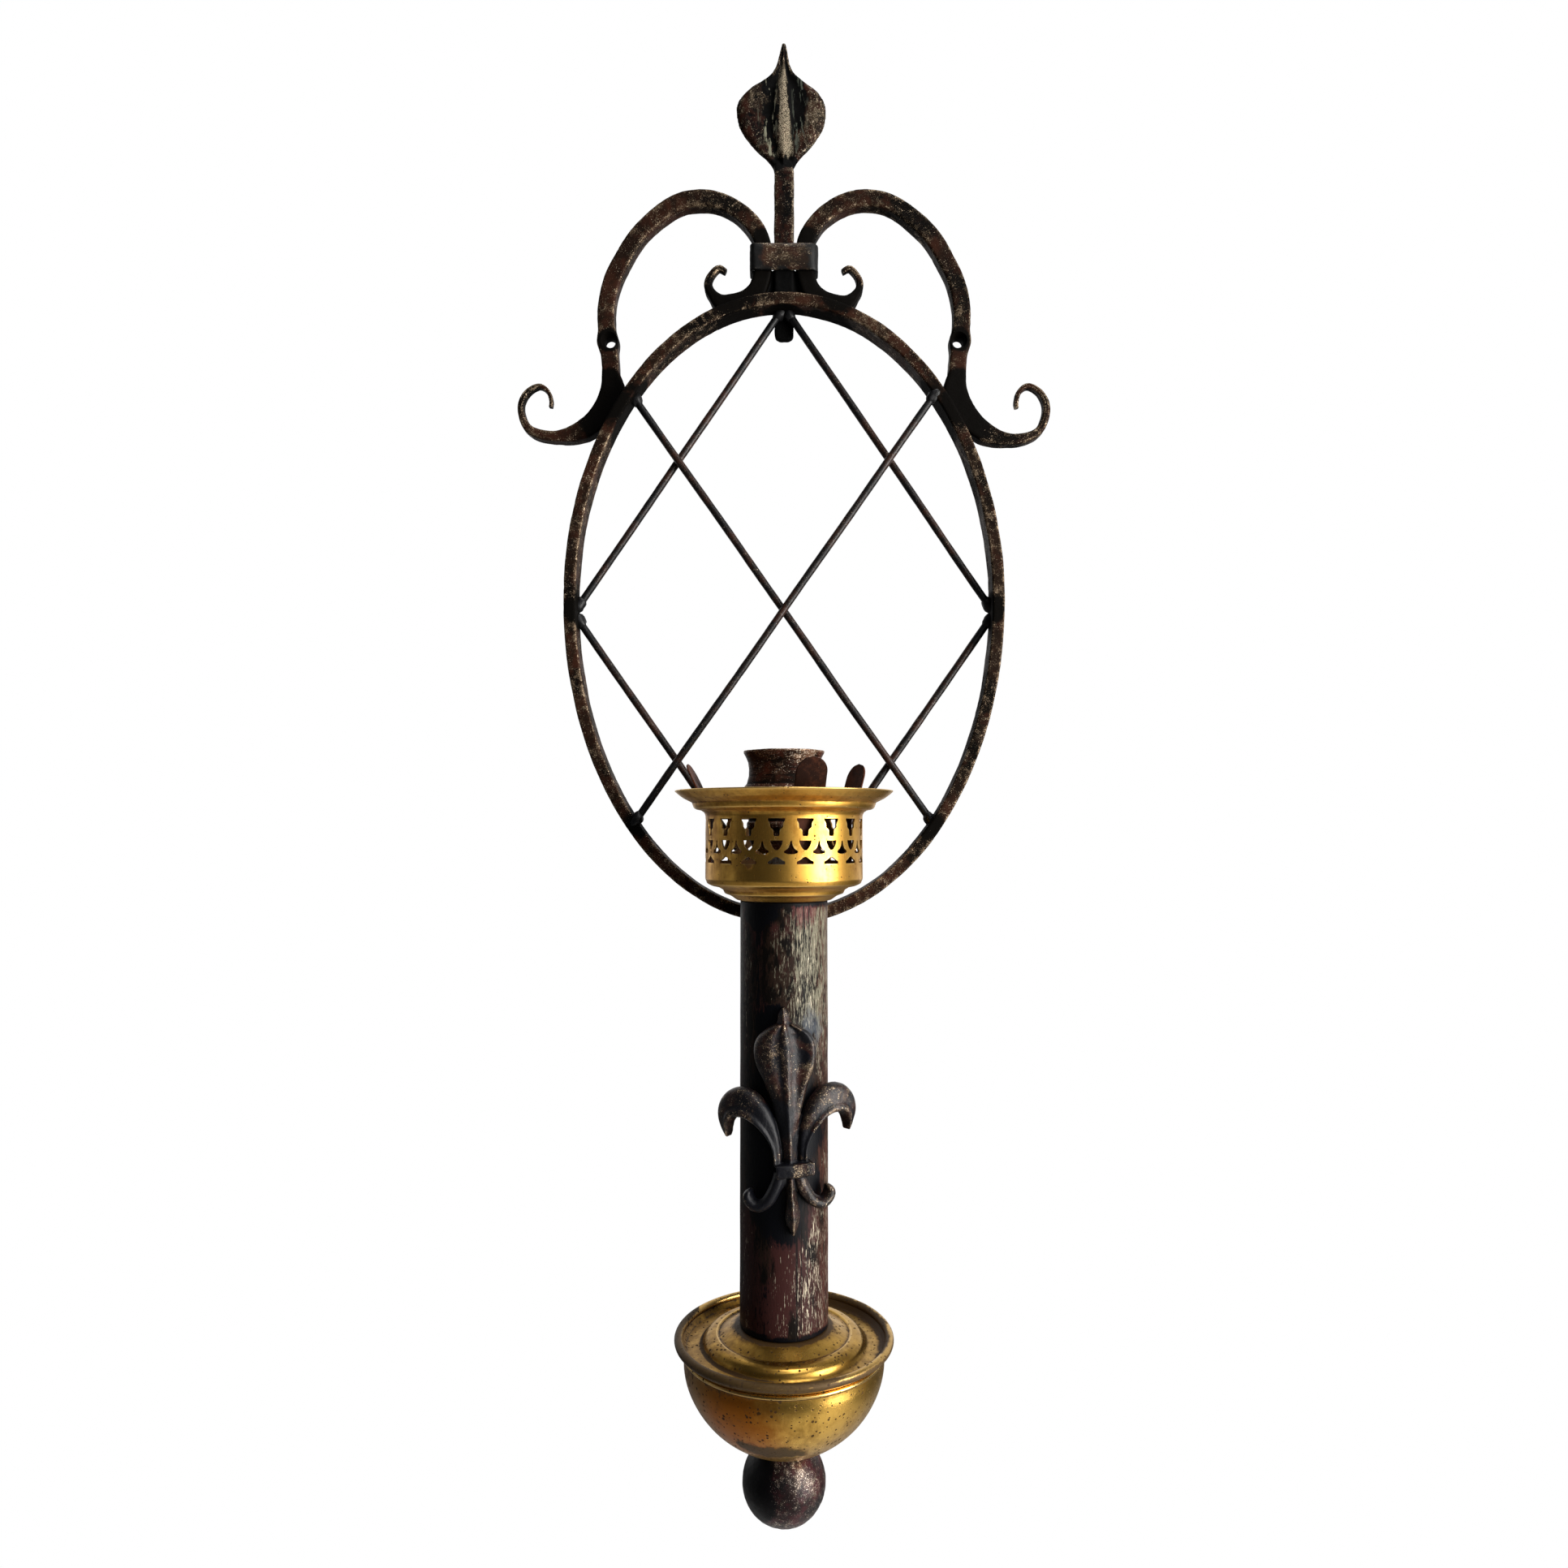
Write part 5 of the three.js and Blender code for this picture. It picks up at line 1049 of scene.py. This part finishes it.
# The two spots high in the petal's right hollow, at x 10 and 8, are painted shade.
mark_soot_and_shade(fleur, [(-4, -75, -375, 8), (-9, -73, -384, 7), (0, -74, -395, 4), (-8, -72, -404, 8),
                  (9, -72, -384, 5), (10, -73, -340, 3), (8, -73, -349, 2.5), (12, -70, -388, 3)])
fleur.data.materials.append(iron_finish(
    "casting_iron", (0.006, 0.004, 0.004), (0.026, 0.010, 0.008), (0.0018, 0.002, 0.004),
    (0.15, 0.105, 0.070), (0.66, 0.52, 0.35), patch=110, grain=2500, bareness=-0.035, edge=0.13, rough=0.29,
    bump=0.9, sheen=0.28))
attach(fleur, "wall_frame")
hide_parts("fleur_de_lis")

# Gallery: one shell spun from 0.9 mm brass, with a flared rim, a ledge for the glass, a straight wall
# with three rows of ornament punched through it, and a stepped foot clamped on the tube's top.

gallery_foot = tube_top + seat_gap
rod_hole = 5.6
punch_depths = (31, 38)

# Spun brass that has darkened: outputs say where it is tarnished, stained, pitted and worn bright, and give
# its spin marks. Painted shade marked on a piece comes out with the tarnish and stain.
ageing, takes, gives = shader_group("aged_brass", [
    ("Vector", "Vector", None), ("Tarnish", "Float", 0.0), ("Pitting", "Float", 0.0), ("Turn", "Float", 0.0),
    ("Soot_and_shade", "Float", 0.0)],
    [("Tarnish", "Float"), ("Stain", "Float"), ("Pits", "Float"), ("Spin", "Float"), ("Worn", "Float")])
at = takes.outputs["Vector"]
place = put(ageing, "SeparateXYZ", {0: at})
back = put(ageing, "Math", {0: place.outputs["Y"], 1: -axis_y * MM}, operation="ADD").outputs[0]
flat = put(ageing, "CombineXYZ", {"X": place.outputs["X"], "Y": back})
radius = put(ageing, "VectorMath", {0: flat.outputs[0]}, operation="LENGTH").outputs["Value"]
angle = put(ageing, "Math", {0: back, 1: place.outputs["X"]}, operation="ARCTAN2").outputs[0]
round_it = put(ageing, "CombineXYZ", {"X": product(ageing, angle, 0.003), "Y": radius,
                                      "Z": place.outputs["Z"]})
spin = cloud(ageing, round_it.outputs[0], 1400, 3, 0.7)
upright = put(ageing, "CombineXYZ", {"X": product(ageing, angle, 0.04), "Y": radius,
                                     "Z": product(ageing, place.outputs["Z"], 0.1)})
drips = cloud(ageing, upright.outputs[0], 500, 4, 0.65, 0.4)
broad = cloud(ageing, at, 42, 4, 0.62, 0.6)
mid = cloud(ageing, at, 190, 5, 0.68, 0.3)
grains = cloud(ageing, at, 1100, 2, 0.6)
outer, inner = corners_and_hollows(ageing, takes.outputs["Turn"])
dull = sum_of(ageing, (broad, 0.5), (mid, 0.38), (drips, 0.22), (takes.outputs["Tarnish"], 1.0),
              (inner, 0.25), (outer, -0.2), (takes.outputs["Soot_and_shade"], 0.3))
ageing.links.new(step_up(ageing, dull, 0.46, 0.74), gives.inputs["Tarnish"])
dark = sum_of(ageing, (mid, 0.55), (broad, 0.25), (grains, 0.2), (inner, 0.35), (takes.outputs["Soot_and_shade"], 0.45),
              (takes.outputs["Tarnish"], 0.4))
ageing.links.new(step_up(ageing, dark, 0.60, 0.78), gives.inputs["Stain"])
cells = put(ageing, "TexVoronoi", {"Vector": at, "Scale": 620.0, "Randomness": 1.0})
near = put(ageing, "Math", {0: cells.outputs["Distance"], 1: -1}, operation="MULTIPLY").outputs[0]
chance = put(ageing, "SeparateColor", {0: cells.outputs["Color"]}).outputs["Red"]
where_pits = sum_of(ageing, (near, 0.9), (chance, 0.42), (mid, 0.7), (takes.outputs["Pitting"], 1.0))
ageing.links.new(step_up(ageing, where_pits, 0.46, 0.52), gives.inputs["Pits"])
ageing.links.new(spin, gives.inputs["Spin"])
worn = sum_of(ageing, (outer, 1.2), (grains, 0.3), (mid, 0.2))
ageing.links.new(step_up(ageing, worn, 0.42, 0.7), gives.inputs["Worn"])


def brass_finish(name, gold, dull, stain, worn, tarnish=0, pitting=0, rough=0.24, bump=0.25, painted_warm_reflection=None,
                 painted_shade_left=0):
    """Old lacquerless brass. tarnish and pitting shift how much of it has turned. The left-side share darkens
    the left side further with painted shade, away from the light at the right, and the optional warm patch is
    a painted reflection."""
    made, tree, surface = blank_finish(name)
    where = put(tree, "TexCoord").outputs["Object"]
    age = put(tree, "Group", {"Vector": where}, node_tree=ageing)
    age.inputs["Pitting"].default_value = pitting
    tree.links.new(put(tree, "Attribute", attribute_name="turn").outputs["Fac"], age.inputs["Turn"])
    tree.links.new(put(tree, "Attribute", attribute_name="soot_and_shade").outputs["Fac"], age.inputs["Soot_and_shade"])
    side = put(tree, "SeparateXYZ", {0: where}).outputs["X"]
    # Painted shade: the left side gets more tarnish, since the light falls from the right.
    left = step_up(tree, product(tree, side, -1), -0.004, 0.026)
    tarnish_and_painted_shade = put(tree, "Math", {0: product(tree, left, painted_shade_left), 1: tarnish}, operation="ADD").outputs[0]
    tree.links.new(tarnish_and_painted_shade, age.inputs["Tarnish"])
    colour = tint(tree, age.outputs["Tarnish"], (*gold, 1), (*dull, 1))
    # A painted reflection: a soft warm brown patch where the metal mirrors warm surroundings.
    if painted_warm_reflection:
        spot, reach, shade = painted_warm_reflection
        away = put(tree, "VectorMath", {0: where, 1: spot}, operation="DISTANCE").outputs["Value"]
        reflection_share = step_up(tree, product(tree, away, -1 / reach), -1, -0.35)
        colour = tint(tree, product(tree, reflection_share, 0.75), colour, (*shade, 1))
    colour = tint(tree, product(tree, age.outputs["Worn"], 0.7), colour, (*worn, 1))
    colour = tint(tree, product(tree, age.outputs["Stain"], 0.9), colour, (*stain, 1))
    colour = tint(tree, product(tree, age.outputs["Pits"], 0.9), colour, (0.05, 0.028, 0.014, 1))
    tree.links.new(colour, surface.inputs["Base Color"])
    shine = level(tree, age.outputs["Tarnish"], rough, rough + 0.14)
    shine = level(tree, age.outputs["Stain"], shine, 0.55)
    tree.links.new(level(tree, age.outputs["Pits"], shine, 0.75), surface.inputs["Roughness"])
    tree.links.new(level(tree, age.outputs["Stain"], 1.0, 0.25), surface.inputs["Metallic"])
    surface.inputs["Specular IOR Level"].default_value = 0.2
    relief = sum_of(tree, (age.outputs["Spin"], 0.4), (age.outputs["Pits"], -0.7),
                    (age.outputs["Stain"], 0.2))
    emboss(tree, surface, relief, bump, 0.25)
    return made


outside = [(rod_hole, 0), (20.6, 0), (23.3, 1.9), (26.0, 2.9), (26.6, 4.4), (28.6, 5.6), (31.5, 6.2),
           (33.6, 7.2), (34.4, 9.2), (34.4, 36.6), (35.0, 38.0), (36.4, 38.9), (38.2, 39.2), (39.5, 39.9),
           (40.0, 41.1), (40.3, 42.3), (41.6, 42.9), (44.2, 44.2), (46.2, 45.7), (47.9, 47.15)]
inside = [(47.5, 47.6), (44.8, 46.7), (41.7, 44.9), (38.3, 42.5), (34.7, 42.5), (33.5, 37.7), (33.5, 9.4),
          (32.7, 8.2), (31, 7.3), (28.2, 6.75), (25.5, 5.4), (25, 4), (22.5, 3.05), (19.6, 0.9),
          (rod_hole, 0.9)]
shell = turned("gallery_shell", [(r, z + gallery_foot) for r, z in outside + inside], 216, 0.45, 3)

vase = [(0.96, 1), (1, 0.95), (0.98, 0.87), (0.86, 0.8), (0.77, 0.7), (0.76, 0.54), (0.66, 0.45),
        (0.48, 0.40), (0.38, 0.33), (0.36, 0.1), (0.26, 0)]
shield = [(0.96, 1), (1, 0.92), (0.92, 0.7), (0.76, 0.44), (0.52, 0.2), (0.26, 0.03), (0.1, 0)]
bell = [(0.1, 1), (0.16, 0.86), (0.28, 0.62), (0.5, 0.42), (0.82, 0.3), (1, 0.24), (1, 0.14), (0.8, 0.06),
        (0.4, 0)]
wedge = [(0.1, 1), (0.3, 0.85), (0.65, 0.55), (0.94, 0.4), (1, 0.26), (1, 0.1), (0.94, 0)]


def punch(outline, wide, high, low, turn):
    """A punch that goes through the wall. low is its foot above the gallery's, and turn where it stands."""
    half = [(x * wide / 2, low + z * high) for x, z in outline]
    shape = half + [(-x, z) for x, z in reversed(half)]
    rings = []
    for deep in punch_depths:
        rings.append([(x * math.cos(turn) + deep * math.sin(turn),
                       axis_y + x * math.sin(turn) - deep * math.cos(turn), gallery_foot + z)
                      for x, z in shape])
    return skin("punch", rings)


row_3 = 16.4
row_2 = row_3 + 2.8 + 1.3
row_1 = row_2 + 5.2 + 2.2
punches = []
for i in range(18):
    turn = math.radians(20 * i - 5.2)
    punches += [punch(vase, 7.2, 7.3, row_1, turn), punch(shield, 5.2, 4, row_2 + 1.6, turn),
                punch(wedge, 7.3, 3, row_3, turn), punch(bell, 5.7, 5.4, row_2, turn + math.radians(10))]
cut_out(shell, [tidy(fused("punches", punches))])
tidy(shell, 32)
mark_turns(shell, reach=0.8, blur=1)
mark_soot_and_shade(shell, [(-14.5, -81.5, gallery_foot + 16.5, 2.2)],
          inside=(33.9, gallery_foot + 8, gallery_foot + 42))
# Its left side is darkened a little with painted shade.
shell.data.materials.append(brass_finish(
    "gallery_brass", (0.72, 0.400, 0.078), (0.34, 0.160, 0.028), (0.085, 0.038, 0.010), (0.85, 0.57, 0.20),
    tarnish=0.0, pitting=-0.10, rough=0.32, painted_shade_left=0.06))
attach(shell, "wall_frame")
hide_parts("gallery")

# Chimney spring: brown oxidised spring strip. Three arms rise from a hub on the gallery's floor and
# carry three rounded fingers that lean out and grip the glass. Each finger flexes at its foot.

spring_foot = gallery_foot + 1.2
spring_head = -241.6
finger_turns = (16.5, 122, 262)
strip_wide = 12.4
strip_thick = 0.8
finger_root = 35.8
finger_tall = 17.4
finger_half = 6.7


def strip(line, widths, turn, curve=0.0):
    """A flat strip along points of radius and height, at an angle round the column."""
    rings = []
    for i, (r, z) in enumerate(line):
        r0, z0 = line[max(i - 1, 0)]
        r1, z1 = line[min(i + 1, len(line) - 1)]
        run = Vector((r1 - r0, z1 - z0)).normalized()
        half = widths[i] / 2
        ring_here = []
        for x, t in rounded_section(2 * half, strip_thick, 0.35, 14, 1):
            sag = curve * (x * x / 36)
            out = r + run.y * t - sag
            up = z - run.x * t
            a = math.radians(turn)
            ring_here.append((x * math.cos(a) + out * math.sin(a),
                              axis_y + x * math.sin(a) - out * math.cos(a), up))
        rings.append(ring_here)
    return skin("strip", rings)


arm_line = [(10, 0.4), (14, 0.4), (16.9, 0.4), (19.5, 1.3), (22.3, 3.1), (26, 6.3), (29.6, 9.4),
            (31.2, 11.2), (31.8, 13), (31.8, 20), (31.8, 28), (31.8, 36), (31.8, 40.5), (32.2, 41.5),
            (33.2, 42), (34.6, 42), (36.4, 42)]
arms = [strip([(r, spring_foot + z) for r, z in arm_line], [strip_wide] * len(arm_line), turn)
        for turn in finger_turns]
hub = turned("hub", [(rod_hole, spring_foot), (13, spring_foot), (13, spring_foot + strip_thick),
                     (rod_hole, spring_foot + strip_thick)], 64, 0.2)
spring = tidy(fused("three_arm_spring", [hub, *arms]))
mark_turns(spring, reach=0.6)
strip_iron = iron_finish(
    "strip_iron", (0.046, 0.016, 0.009), (0.078, 0.026, 0.013), (0.014, 0.006, 0.004), (0.12, 0.055, 0.030),
    (0.20, 0.12, 0.08), patch=75, grain=1300, bareness=-0.10, edge=0.06, rough=0.45, bump=0.25)
spring.data.materials.append(strip_iron)
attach(spring, "wall_frame")
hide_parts("chimney_spring")

for i, (turn, lean) in enumerate(zip(finger_turns, (22, 17, 26))):
    lean = math.radians(lean)
    line, widths = [], []
    for step in range(25):
        up = finger_tall * step / 24
        top = finger_tall - finger_half
        half = finger_half if up < top else math.sqrt(max(0.02, finger_half ** 2 - (up - top) ** 2))
        line.append((finger_root + up * math.sin(lean), spring_head + 0.35 + up * math.cos(lean)))
        widths.append(2 * half)
    finger = tidy(strip(line, widths, turn, 0.25))
    finger.name = f"chimney_finger_{i + 1}"
    forged(finger, 0.12, 5, 60 + i)
    mark_turns(finger, reach=0.6)
    finger.data.materials.append(strip_iron)
    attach(finger, f"finger_{i + 1}")
    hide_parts(f"spring_finger_{i + 1}")

# Lampholder: a pressed iron cup with a flared mouth, a rolled bead and two ribs, blotched brown. Inside
# sit a glazed porcelain body and a threaded brass shell for the lamp.

cup_foot = gallery_foot + 20
cup_tall = 45
cup_line = [(rod_hole, 0), (9.6, 0), (13.9, 2.7), (15.4, 6.3), (15.4, 10.8), (16.3, 11.7), (16.3, 13.5),
            (15.4, 14.4), (15.4, 18.9), (16.3, 19.8), (16.3, 21.6), (15.4, 22.5), (15.4, 26.1), (17.7, 27.4),
            (17.7, 29), (16.3, 30.6), (15.5, 34), (15.4, 37), (15.8, 40), (16.7, 42.4), (17.7, 44.2),
            (17.7, cup_tall)]
cup_inside = [(16.6, cup_tall), (15.2, 41.9), (14.3, 36.9), (14.3, 6.3), (12.9, 4.3), (9.3, 1.6),
              (rod_hole, 1.6)]
cup = turned("pressed_cup", [(r, z + cup_foot) for r, z in cup_line + cup_inside], 120, 0.5, 2)
forged(cup, 0.16, 7, 71)
forged(cup, 0.08, 2.2, 8, deep=0.4)
tidy(cup)
# The rubbed spots along the right of the mouth are a painted highlight as well as wear.
mark_turns(cup, reach=1.2, blur=4, worn_and_highlit=[(x, -64, cup_foot + 42, 3.2, 0.5) for x in (3, 7, 11, 14)])
cup.data.materials.append(iron_finish(
    "cup_iron", (0.032, 0.013, 0.008), (0.070, 0.020, 0.011), (0.005, 0.003, 0.002), (0.17, 0.100, 0.062),
    (0.60, 0.50, 0.40), patch=80, grain=2700, bareness=-0.015, edge=0.13, rough=0.34, stretch=(0.6, 0.6, 1)))
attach(cup, "wall_frame")
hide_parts("lampholder_cup")

glazed, tree, surface = blank_finish("glazed_porcelain")
surface.inputs["Roughness"].default_value = 0.22
where = put(tree, "TexCoord").outputs["Object"]
grime = step_up(tree, cloud(tree, where, 240, 4, 0.6), 0.45, 0.7)
tree.links.new(tint(tree, grime, (0.74, 0.70, 0.61, 1), (0.42, 0.34, 0.24, 1)), surface.inputs["Base Color"])
emboss(tree, surface, cloud(tree, where, 420, 2), 0.15, 0.2)
body_foot = cup_foot + 5.2
porcelain_line = [(0, 7.5), (7.35, 7.5), (7.35, 0), (12.8, 0), (14, 2.4), (14, 15), (13.1, 15), (13.1, 11),
                  (0, 11)]
porcelain = turned("porcelain_body", [(r, z + body_foot) for r, z in porcelain_line], 96, 0.5, 3)
porcelain.data.materials.append(glazed)
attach(porcelain, "wall_frame")
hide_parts("lampholder_insulator")

thread_foot = body_foot + 11.3
thread_tall = 22
thread_crest, thread_root = 12.8, 12.1
thread_wall = 0.6
thread_out = [(9.2, 0), (thread_crest, 0)]
for i in range(3):
    base = (0.2 + 0.7 * i / 3) * thread_tall
    thread_out += [(thread_crest, base), (thread_root, base + 0.35 * thread_tall / 3 * 1.43)]
thread_out += [(thread_crest, 19.8), (thread_crest, thread_tall)]
thread_in = [(r - thread_wall, thread_wall if z == 0 else z) for r, z in reversed(thread_out[1:])]
thread_in.append((9.2, thread_wall))
threads = turned("threaded_shell", [(r, z + thread_foot) for r, z in thread_out + thread_in], 96, 0.9, 1.5)
mark_turns(threads, reach=0.6)
contact_brass = brass_finish("contact_brass", (0.74, 0.52, 0.22), (0.42, 0.27, 0.10), (0.12, 0.07, 0.03),
                             (0.85, 0.66, 0.34), tarnish=-0.05, pitting=-0.2, rough=0.3)
threads.data.materials.append(contact_brass)
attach(threads, "wall_frame")
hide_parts("lampholder_screw_shell")

# Small fittings kept as the model gives them, with a finish only: the contact and its screws, the hollow
# threaded rod that clamps the column, its nuts and washers, and the turned plugs in the tube's ends. The
# moulded rubber bush that guards the cord's way in, at the tube's back, is made here.


def finish_kept(nodes, finish):
    for node in nodes:
        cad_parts[node].data.materials.clear()
        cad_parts[node].data.materials.append(finish)


finish_kept(("centre_contact", "terminal_screw_left", "terminal_screw_right"), contact_brass)

plated, tree, surface = blank_finish("dull_plated_steel")
surface.inputs["Metallic"].default_value = 0.9
where = put(tree, "TexCoord").outputs["Object"]
spots = step_up(tree, cloud(tree, where, 300, 5, 0.65, 0.4), 0.5, 0.68)
tree.links.new(tint(tree, spots, (0.36, 0.34, 0.31, 1), (0.12, 0.07, 0.045, 1)), surface.inputs["Base Color"])
tree.links.new(level(tree, spots, 0.34, 0.62), surface.inputs["Roughness"])
emboss(tree, surface, cloud(tree, where, 1500, 2), 0.2, 0.2)
finish_kept(("lamp_rod", "gallery_washer", "gallery_nut", "cup_nut", "plug_nut", "bowl_washer", "bowl_nut",
             "tube_plug_top", "tube_plug_bottom"), plated)

moulded, tree, surface = blank_finish("moulded_rubber")
surface.inputs["Roughness"].default_value = 0.62
where = put(tree, "TexCoord").outputs["Object"]
dust = step_up(tree, cloud(tree, where, 260, 4, 0.6), 0.48, 0.72)
tree.links.new(tint(tree, dust, (0.018, 0.017, 0.016, 1), (0.07, 0.062, 0.054, 1)),
               surface.inputs["Base Color"])
emboss(tree, surface, cloud(tree, where, 1400, 2), 0.2, 0.2)
bush_profile = [(3.1, 0), (4.45, 0), (4.45, 5.6), (6.75, 5.6), (6.75, 6.7), (5.65, 7.8), (3.1, 7.8)]
bush_outline = filled(eased(bush_profile, 0.5), 1.5)
bush_rings = []
for i in range(64):
    a = 2 * math.pi * i / 64
    bush_rings.append([(r * math.cos(a), axis_y + tube_radius - 5.3 + d, inlet_z + r * math.sin(a))
                       for r, d in bush_outline])
bush = tidy(skin("cord_bush", bush_rings, loop=True))
bush.data.materials.append(moulded)
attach(bush, "wall_frame")
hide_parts("cable_bush")

# Pan: a spun brass lid round the foot of the tube, with two steps, a flat trough and a rolled rim that has
# gone brown and speckled from handling. Its left side and the roll's inner wall at the right and back are
# darkened with painted shade.

pan_top = tube_bottom - seat_gap
roll_radius = 1.8
pan_line = [(rod_hole, 0), (19.35, 0), (21.5, -0.7), (25.8, -2.8), (27.2, -3.5), (27.9, -3.55), (28.9, -2.9),
            (31.3, -3.2), (32.8, -3.9), (34.1, -5.2), (34.8, -6.6), (35.9, -7.7), (37.5, -7.8), (41.9, -7.8)]
roll = []
for i in range(17):
    a = math.radians(200 - 290 * i / 16)
    roll.append((45.3 + roll_radius * math.cos(a), -5.1 + roll_radius * math.sin(a)))
pan_under = [(43.5, -8.7), (37.5, -8.7), (35.2, -8.5), (33.9, -7.2), (33.2, -5.9), (32.2, -4.75),
             (30.9, -4.1), (29.2, -3.8), (28.2, -4.4), (26.9, -4.4), (25.4, -3.7), (21.2, -1.65),
             (18.9, -0.9), (rod_hole, -0.9)]
pan = turned("spun_pan", [(r, z + pan_top) for r, z in pan_line + roll + pan_under], 192, 0.6, 2.4)
forged(pan, 0.10, 16, 81)
tidy(pan, 60)
mark_turns(pan, reach=1.0)
# The last two circles, on the roll's inner wall at the right and back, are painted shade.
mark_soot_and_shade(pan, [], [(46.9, pan_top - 5.8, 2.0, 0, 360), (19.6, pan_top, 2.2, 0, 360),
                    (45.9, pan_top - 3.8, 2.2, 150, 285), (35.3, pan_top - 7.4, 0.9, 120, 240),
                    (43.9, pan_top - 4.9, 2.4, -28, 85), (43.3, pan_top - 7.1, 2.6, -28, 85)])
pan.data.materials.append(brass_finish(
    "pan_brass", (0.50, 0.290, 0.060), (0.20, 0.105, 0.019), (0.032, 0.016, 0.006), (0.66, 0.44, 0.17),
    tarnish=0.02, pitting=0.05, rough=0.26, painted_shade_left=0.08))
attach(pan, "wall_frame")
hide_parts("pan")

# Bowl: the spun half globe under the pan, with a small bead at its edge. It has a painted orange brown
# reflection and painted shade at the left, a dark stain low at the front and a scatter of pits.

bowl_rim = pan_top - 9
bowl_radius = 43
bowl_deep = 37.9
bowl_wall = 0.9
bowl_flat_radius = 11.2
bowl_round = 1.85
bowl_flat = math.acos((bowl_flat_radius / bowl_radius) ** (bowl_round / 2))


def bowl_curve(inset):
    """The bowl's side from its edge to its hole, a little leaner than an ellipse. inset is 0 outside."""
    points = []
    for i in range(41):
        a = bowl_flat * i / 40
        points.append(((bowl_radius - inset) * math.cos(a) ** (2 / bowl_round),
                       bowl_rim - 5.4 - (bowl_deep - inset) * math.sin(a) ** (2 / bowl_round)))
    return points + [(rod_hole, points[-1][1])]


bowl_edge = [(bowl_radius, bowl_rim - 1.8), (43.9, bowl_rim - 1.3), (43.9, bowl_rim - 0.5),
             (bowl_radius, bowl_rim), (42.1, bowl_rim)]
bowl = turned("spun_bowl", bowl_curve(0)[::-1] + bowl_edge + bowl_curve(bowl_wall), 192, 0.4, 2.4)
forged(bowl, 0.14, 18, 91)
tidy(bowl, 60)
mark_turns(bowl, reach=1.0)
stains = [(x, axis_y - math.sqrt(34 ** 2 - x * x), z, reach) for x, z, reach in (
    (-15, -501, 4), (-11, -502.5, 5.5), (-6, -503.5, 6.5), (-1, -503, 5.5), (3, -504.5, 5), (7, -505.5, 3.5))]
mark_soot_and_shade(bowl, stains)
# The warm patch at the left is a painted reflection, and the left side is darkened with painted shade.
bowl.data.materials.append(brass_finish(
    "bowl_brass", (0.70, 0.425, 0.094), (0.24, 0.115, 0.018), (0.040, 0.026, 0.008), (0.70, 0.48, 0.18),
    tarnish=-0.01, pitting=0.06, rough=0.25, painted_warm_reflection=((-0.018, -0.086, -0.492), 0.026, (0.36, 0.105, 0.008)),
    painted_shade_left=0.24))
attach(bowl, "wall_frame")
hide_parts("bowl")

# Ball: a solid iron ball with a flat top, drilled and tapped, that screws onto the rod's end under the bowl.
# Its maroon stain is rubbed to sparkling metal where fingers turn it; the bright spots at its upper right are
# painted highlight as well as wear, and its darker left is painted shade.

ball_middle = -532.82
ball_radius = 17.85
ball_flat = 14.786
bore_radius, bore_deep = 5.3, 20
ball_profile = [(0, ball_middle + ball_flat - bore_deep), (bore_radius, ball_middle + ball_flat - bore_deep),
                (bore_radius, ball_middle + ball_flat)]
flat_angle = math.asin(ball_flat / ball_radius)
for i in range(45):
    a = flat_angle - (flat_angle + math.pi / 2) * i / 44
    ball_profile.append((max(0, ball_radius * math.cos(a)), ball_middle + ball_radius * math.sin(a)))
ball = turned("ball_knob", ball_profile, 128, 0.3, 1.4)
forged(ball, 0.18, 7, 95)
forged(ball, 0.12, 1.9, 6, deep=0.5)
tidy(ball, 60)
# The first three spots, at the upper right, are painted highlight as well as wear.
mark_turns(ball, reach=1.2, worn_and_highlit=[(7, -65, -523, 5, 0.3), (11, -62, -528, 4, 0.3), (4, -66, -518, 4, 0.3),
                                    (-5, -66, -545, 4, 0.35), (2, -66, -546, 4, 0.35)])
# These spots darken the ball's left side with painted shade.
mark_soot_and_shade(ball, [(-15, -57, -531, 11), (-11, -62, -535, 8), (-12, -60, -523, 7)])
ball.data.materials.append(iron_finish(
    "ball_iron", (0.013, 0.007, 0.007), (0.040, 0.011, 0.013), (0.0018, 0.0014, 0.002), (0.15, 0.115, 0.090),
    (0.66, 0.56, 0.48), patch=100, grain=2900, bareness=-0.04, edge=0.2, rough=0.30, sheen=0.14))
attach(ball, "ball")
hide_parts("ball_finial")
